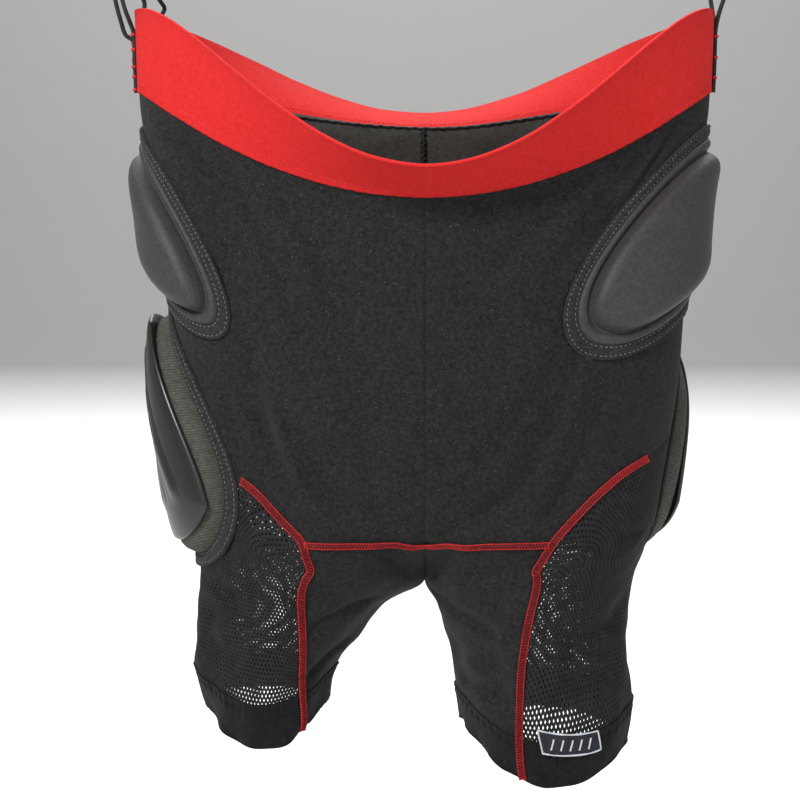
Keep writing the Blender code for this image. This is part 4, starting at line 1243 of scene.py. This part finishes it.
guards = []
for side, word in SIDES:
    shape = THIGH_SHAPE[side]
    cushion = moulded(f"thigh_pad_{word}", side, shape, CUSHION_PROFILE, THIGH_RINGS, ribbed_cover,
                      f"thigh_cushion_{word}", cushion_ribs)
    (ahead, drop), long, wide, tilt, taper = shape
    plate = ((ahead, drop - PLATE_RAISE), long + PLATE_LONGER, wide, tilt, taper)
    shell = moulded(f"thigh_plate_{word}", side, plate, SHELL_PROFILE, THIGH_RINGS, hard_shell,
                    f"thigh_shell_{word}", shell_relief, roundness=0.72)
    guards += [cushion, shell, *bind("thigh", side, word, shape)]
tally(*guards)

# %% [markdown]
# ## Leg patch
# A small woven patch is sewn low on one leg, with a pale corded border and a few plain slanted bars on a
# dark ground.

# %% Leg patch
PATCH_LENGTH, PATCH_HEIGHT, PATCH_THICK = 0.040, 0.0135, 0.0010
PATCH_SHARE, PATCH_RING, PATCH_LIFT = 0.285, 12.05, 0.0016
PATCH_ROUND, PATCH_DROP = 0.375, 0.036  # metres to a share and to a ring, where the patch is
SLANT, TILT = 0.06, 0.16
BARS, BAR_PITCH = 5, 0.15
BORDER_RADIUS, BAR_RADIUS = 0.00062, 0.00055


def patch_place(a, b):
    """Side, share and ring of a place on the patch, from -0.5 to 0.5 along and down."""
    return PATCH_SHARE + a * PATCH_LENGTH / PATCH_ROUND, PATCH_RING + b * PATCH_HEIGHT / PATCH_DROP + a * TILT


def lay_patch(u, v):
    a, b = u - 0.5, v - 0.5
    share, ring = patch_place(a + b * SLANT, b)
    edge = np.clip(np.minimum(0.5 - np.abs(a), (0.5 - np.abs(b)) * 0.34) / 0.03, 0, 1)
    return (cloth(1, share, ring, PATCH_LIFT + PATCH_THICK * (0.6 + 0.4 * edge)),
            np.stack([a * PATCH_LENGTH, b * PATCH_HEIGHT], axis=1))


bm = bmesh.new()
laid_grid(bm, 60, 20, lay_patch)
patch = piece("patch_field", bm, [patch_cloth], "leg_patch", wall=0.0009, axis=LEG_AXIS)

bm = bmesh.new()
corners = [(-0.5, -0.5), (0.5, -0.5), (0.5, 0.5), (-0.5, 0.5), (-0.5, -0.5)]
loop = [np.array(a) + (np.array(b) - a) * t for a, b in zip(corners, corners[1:]) for t in np.arange(40) / 40]
loop = np.array([*loop, loop[0]])
share, ring = patch_place(loop[:, 0] * 0.97 + loop[:, 1] * SLANT, loop[:, 1] * 0.92)
tube(bm, cloth(1, share, ring, PATCH_LIFT + PATCH_THICK), BORDER_RADIUS, 6, beads(0.15, 0.0009))
at = np.linspace(-0.24, 0.24, 16)
for k in range(BARS):
    share, ring = patch_place(-0.30 + BAR_PITCH * k - at * 0.16 + at * SLANT, at)
    tube(bm, cloth(1, share, ring, PATCH_LIFT + PATCH_THICK), BAR_RADIUS, 6)
border = piece("patch_border", bm, [patch_edge], weld=0)
tally(patch, border)

# %% [markdown]
# ## Tacks on the cords
# Short bars of red thread pass over each cord and hold it to the band. Each is half a ring, rolled as a
# tube over the cord where it lies on the elastic.

# %% Tacks
TACKS = ((-1, 0.5, (0.42, 0.60, 0.78, 0.95)), (-1, 0.48, (0.34, 0.50, 0.68)), (1, 0.48, (0.36, 0.58, 0.80)),
         (1, 0.52, (0.30, 0.50)), (-1, 0.55, (0.32, 0.50)), (-1, 0.59, (0.22,)))
TACK_RADIUS, TACK_THREAD = 0.0019, 0.00035
bm = bmesh.new()
for side, share, rings_at in TACKS:
    for at in rings_at:
        for slip in (-0.004, 0.010):
            middle = surface(side, share, at + slip, CORD_SEWN)[0]
            out = normals_of(side, np.array([share]), np.array([at]))[0]
            ahead = surface(side, share, at + 0.05, CORD_SEWN)[0] - middle
            across = np.cross(out, ahead)
            across /= np.linalg.norm(across)
            angle = np.linspace(-0.25, math.pi + 0.25, 12)
            arc = [middle + across * math.cos(t) * TACK_RADIUS + out * math.sin(t) * TACK_RADIUS
                   for t in angle]
            tube(bm, arc, TACK_THREAD, 5)
tacks = piece("cord_tacks", bm, [red_thread], weld=0)
tally(tacks)

# %% [markdown]
# ## Floor and wall
# A pale floor and a wall stand behind the shorts. One sheet, curved where it turns up, gives both without a
# corner line, and its colour changes with height from white on the floor to a grey up the wall that is
# painted shade.

# %% Floor and backdrop
FLOOR_DROP = -0.62
FLOOR_FRONT, WALL_BACK, WALL_TALL, WIDTH = -3.0, 3.2, 4.0, 9
BEND_RADIUS = 0.5
BEND_FROM, BEND_TO = 0.55, 0.7
WALL_STARTS = (-0.36, -0.20)
# the floor is white; the wall's grey is painted shade, where less light falls
FLOOR_WHITE, SHADE_PAINTED_WALL_GREY = (0.90, 0.90, 0.90, 1), (0.29, 0.286, 0.282, 1)

pale_floor = bpy.data.materials.new("pale_floor")
pale_floor.use_nodes = True
tree = pale_floor.node_tree
height = shader_node(tree, "SeparateXYZ", {0: shader_node(tree, "TexCoord", {})["Object"]})[2]
values = {"Value": height, "From Min": WALL_STARTS[0], "From Max": WALL_STARTS[1]}
tone = mix_node(tree, shader_node(tree, "MapRange", values)[0], FLOOR_WHITE, SHADE_PAINTED_WALL_GREY)
shader = tree.nodes["Principled BSDF"]
tree.links.new(tone, shader.inputs["Base Color"])
shader.inputs["Roughness"].default_value = 0.9
shader.inputs["Specular IOR Level"].default_value = 0.2

bm = bmesh.new()
bmesh.ops.create_grid(bm, x_segments=2, y_segments=40, size=0.5)
for vert in bm.verts:
    v = vert.co.y + 0.5
    angle = min(max((v - BEND_FROM) / 0.15, 0), 1) * math.pi / 2
    y = FLOOR_FRONT + (WALL_BACK - BEND_RADIUS - FLOOR_FRONT) * min(v / BEND_FROM, 1)
    y += BEND_RADIUS * math.sin(angle)
    z = FLOOR_DROP + BEND_RADIUS * (1 - math.cos(angle)) + max(v - BEND_TO, 0) / 0.3 * WALL_TALL
    vert.co = (vert.co.x * WIDTH, y, z)
mesh = bpy.data.meshes.new("backdrop")
bm.to_mesh(mesh)
bm.free()
mesh.materials.append(pale_floor)
mesh.shade_smooth()
backdrop = bpy.data.objects.new("backdrop", mesh)
bpy.context.scene.collection.objects.link(backdrop)
print("floor at", FLOOR_DROP, "wall at", WALL_BACK)

# %% [markdown]
# ## Light
# A soft light stands near the camera on the left, with a larger and weaker one on the right and one above.
# A last one whitens the floor behind the shorts, and the surroundings are pale.

# %% Lights
def soft_light(name, place, aim, size, power):
    lamp = bpy.data.lights.new(name, "AREA")
    lamp.shape = "RECTANGLE"
    lamp.size = lamp.size_y = size
    lamp.energy = power
    made = bpy.data.objects.new(name, lamp)
    made.location = place
    made.rotation_euler = (Vector(aim) - Vector(place)).to_track_quat("-Z", "Y").to_euler()
    bpy.context.scene.collection.objects.link(made)


soft_light("key", (-0.85, -1.35, 0.75), (0, 0, -0.26), 0.5, 32)
soft_light("fill", (1.3, -1.5, -0.1), (0, 0, -0.28), 1.2, 7)
soft_light("top", (0.1, 0.5, 1.1), (0, 0, -0.2), 1.0, 9)
soft_light("floor_wash", (0, 1.7, 1.4), (0, 1.9, -0.62), 2.4, 62)
world = bpy.data.worlds.new("pale")
world.use_nodes = True
sky = world.node_tree.nodes["Background"]
sky.inputs["Color"].default_value = (0.9, 0.92, 0.95, 1)
sky.inputs["Strength"].default_value = 0.42
bpy.context.scene.world = world
print("lights: key, fill, top, floor wash")

# %% [markdown]
# ## The cloth's flat sizes
# Each panel of cloth has the flat size of its cut listed: the greatest width and length measured along the
# surface. The area of each laid panel is printed beside the area of that size. The mesh is measured as if its
# holes were cloth.

FRONT_FLAT, BACK_FLAT = (0.225, 0.235), (0.215, 0.270)
INSIDE_FLAT, MESH_FLAT = ((0.210, 0.130), (0.203, 0.134)), ((0.269, 0.151), (0.272, 0.175))


def filled_area(side):
    """Area of a mesh panel's cut, with its holes counted as cloth."""
    u, v = np.meshgrid(np.linspace(0, 1, 60), np.linspace(0, 1, 40))
    laid = surface(side, *mesh_place(side, u.ravel(), v.ravel())).reshape(*u.shape, 3)
    one, other = laid[1:, 1:] - laid[:-1, :-1], laid[1:, :-1] - laid[:-1, 1:]
    return float(0.5 * np.linalg.norm(np.cross(one, other), axis=2).sum())


knits = zip([*body_cloth, *insides], [FRONT_FLAT, BACK_FLAT] * 2 + [*INSIDE_FLAT])
sheets = [(made, flat, sum(p.area for p in made.data.polygons)) for made, flat in knits]
sheets += [(made, flat, filled_area(side)) for made, flat, (side, _) in zip(meshes, MESH_FLAT, SIDES)]
for made, flat, area in sheets:
    print(f"  {made.name}: {area:.4f} square metres of {flat[0] * flat[1]:.4f}")
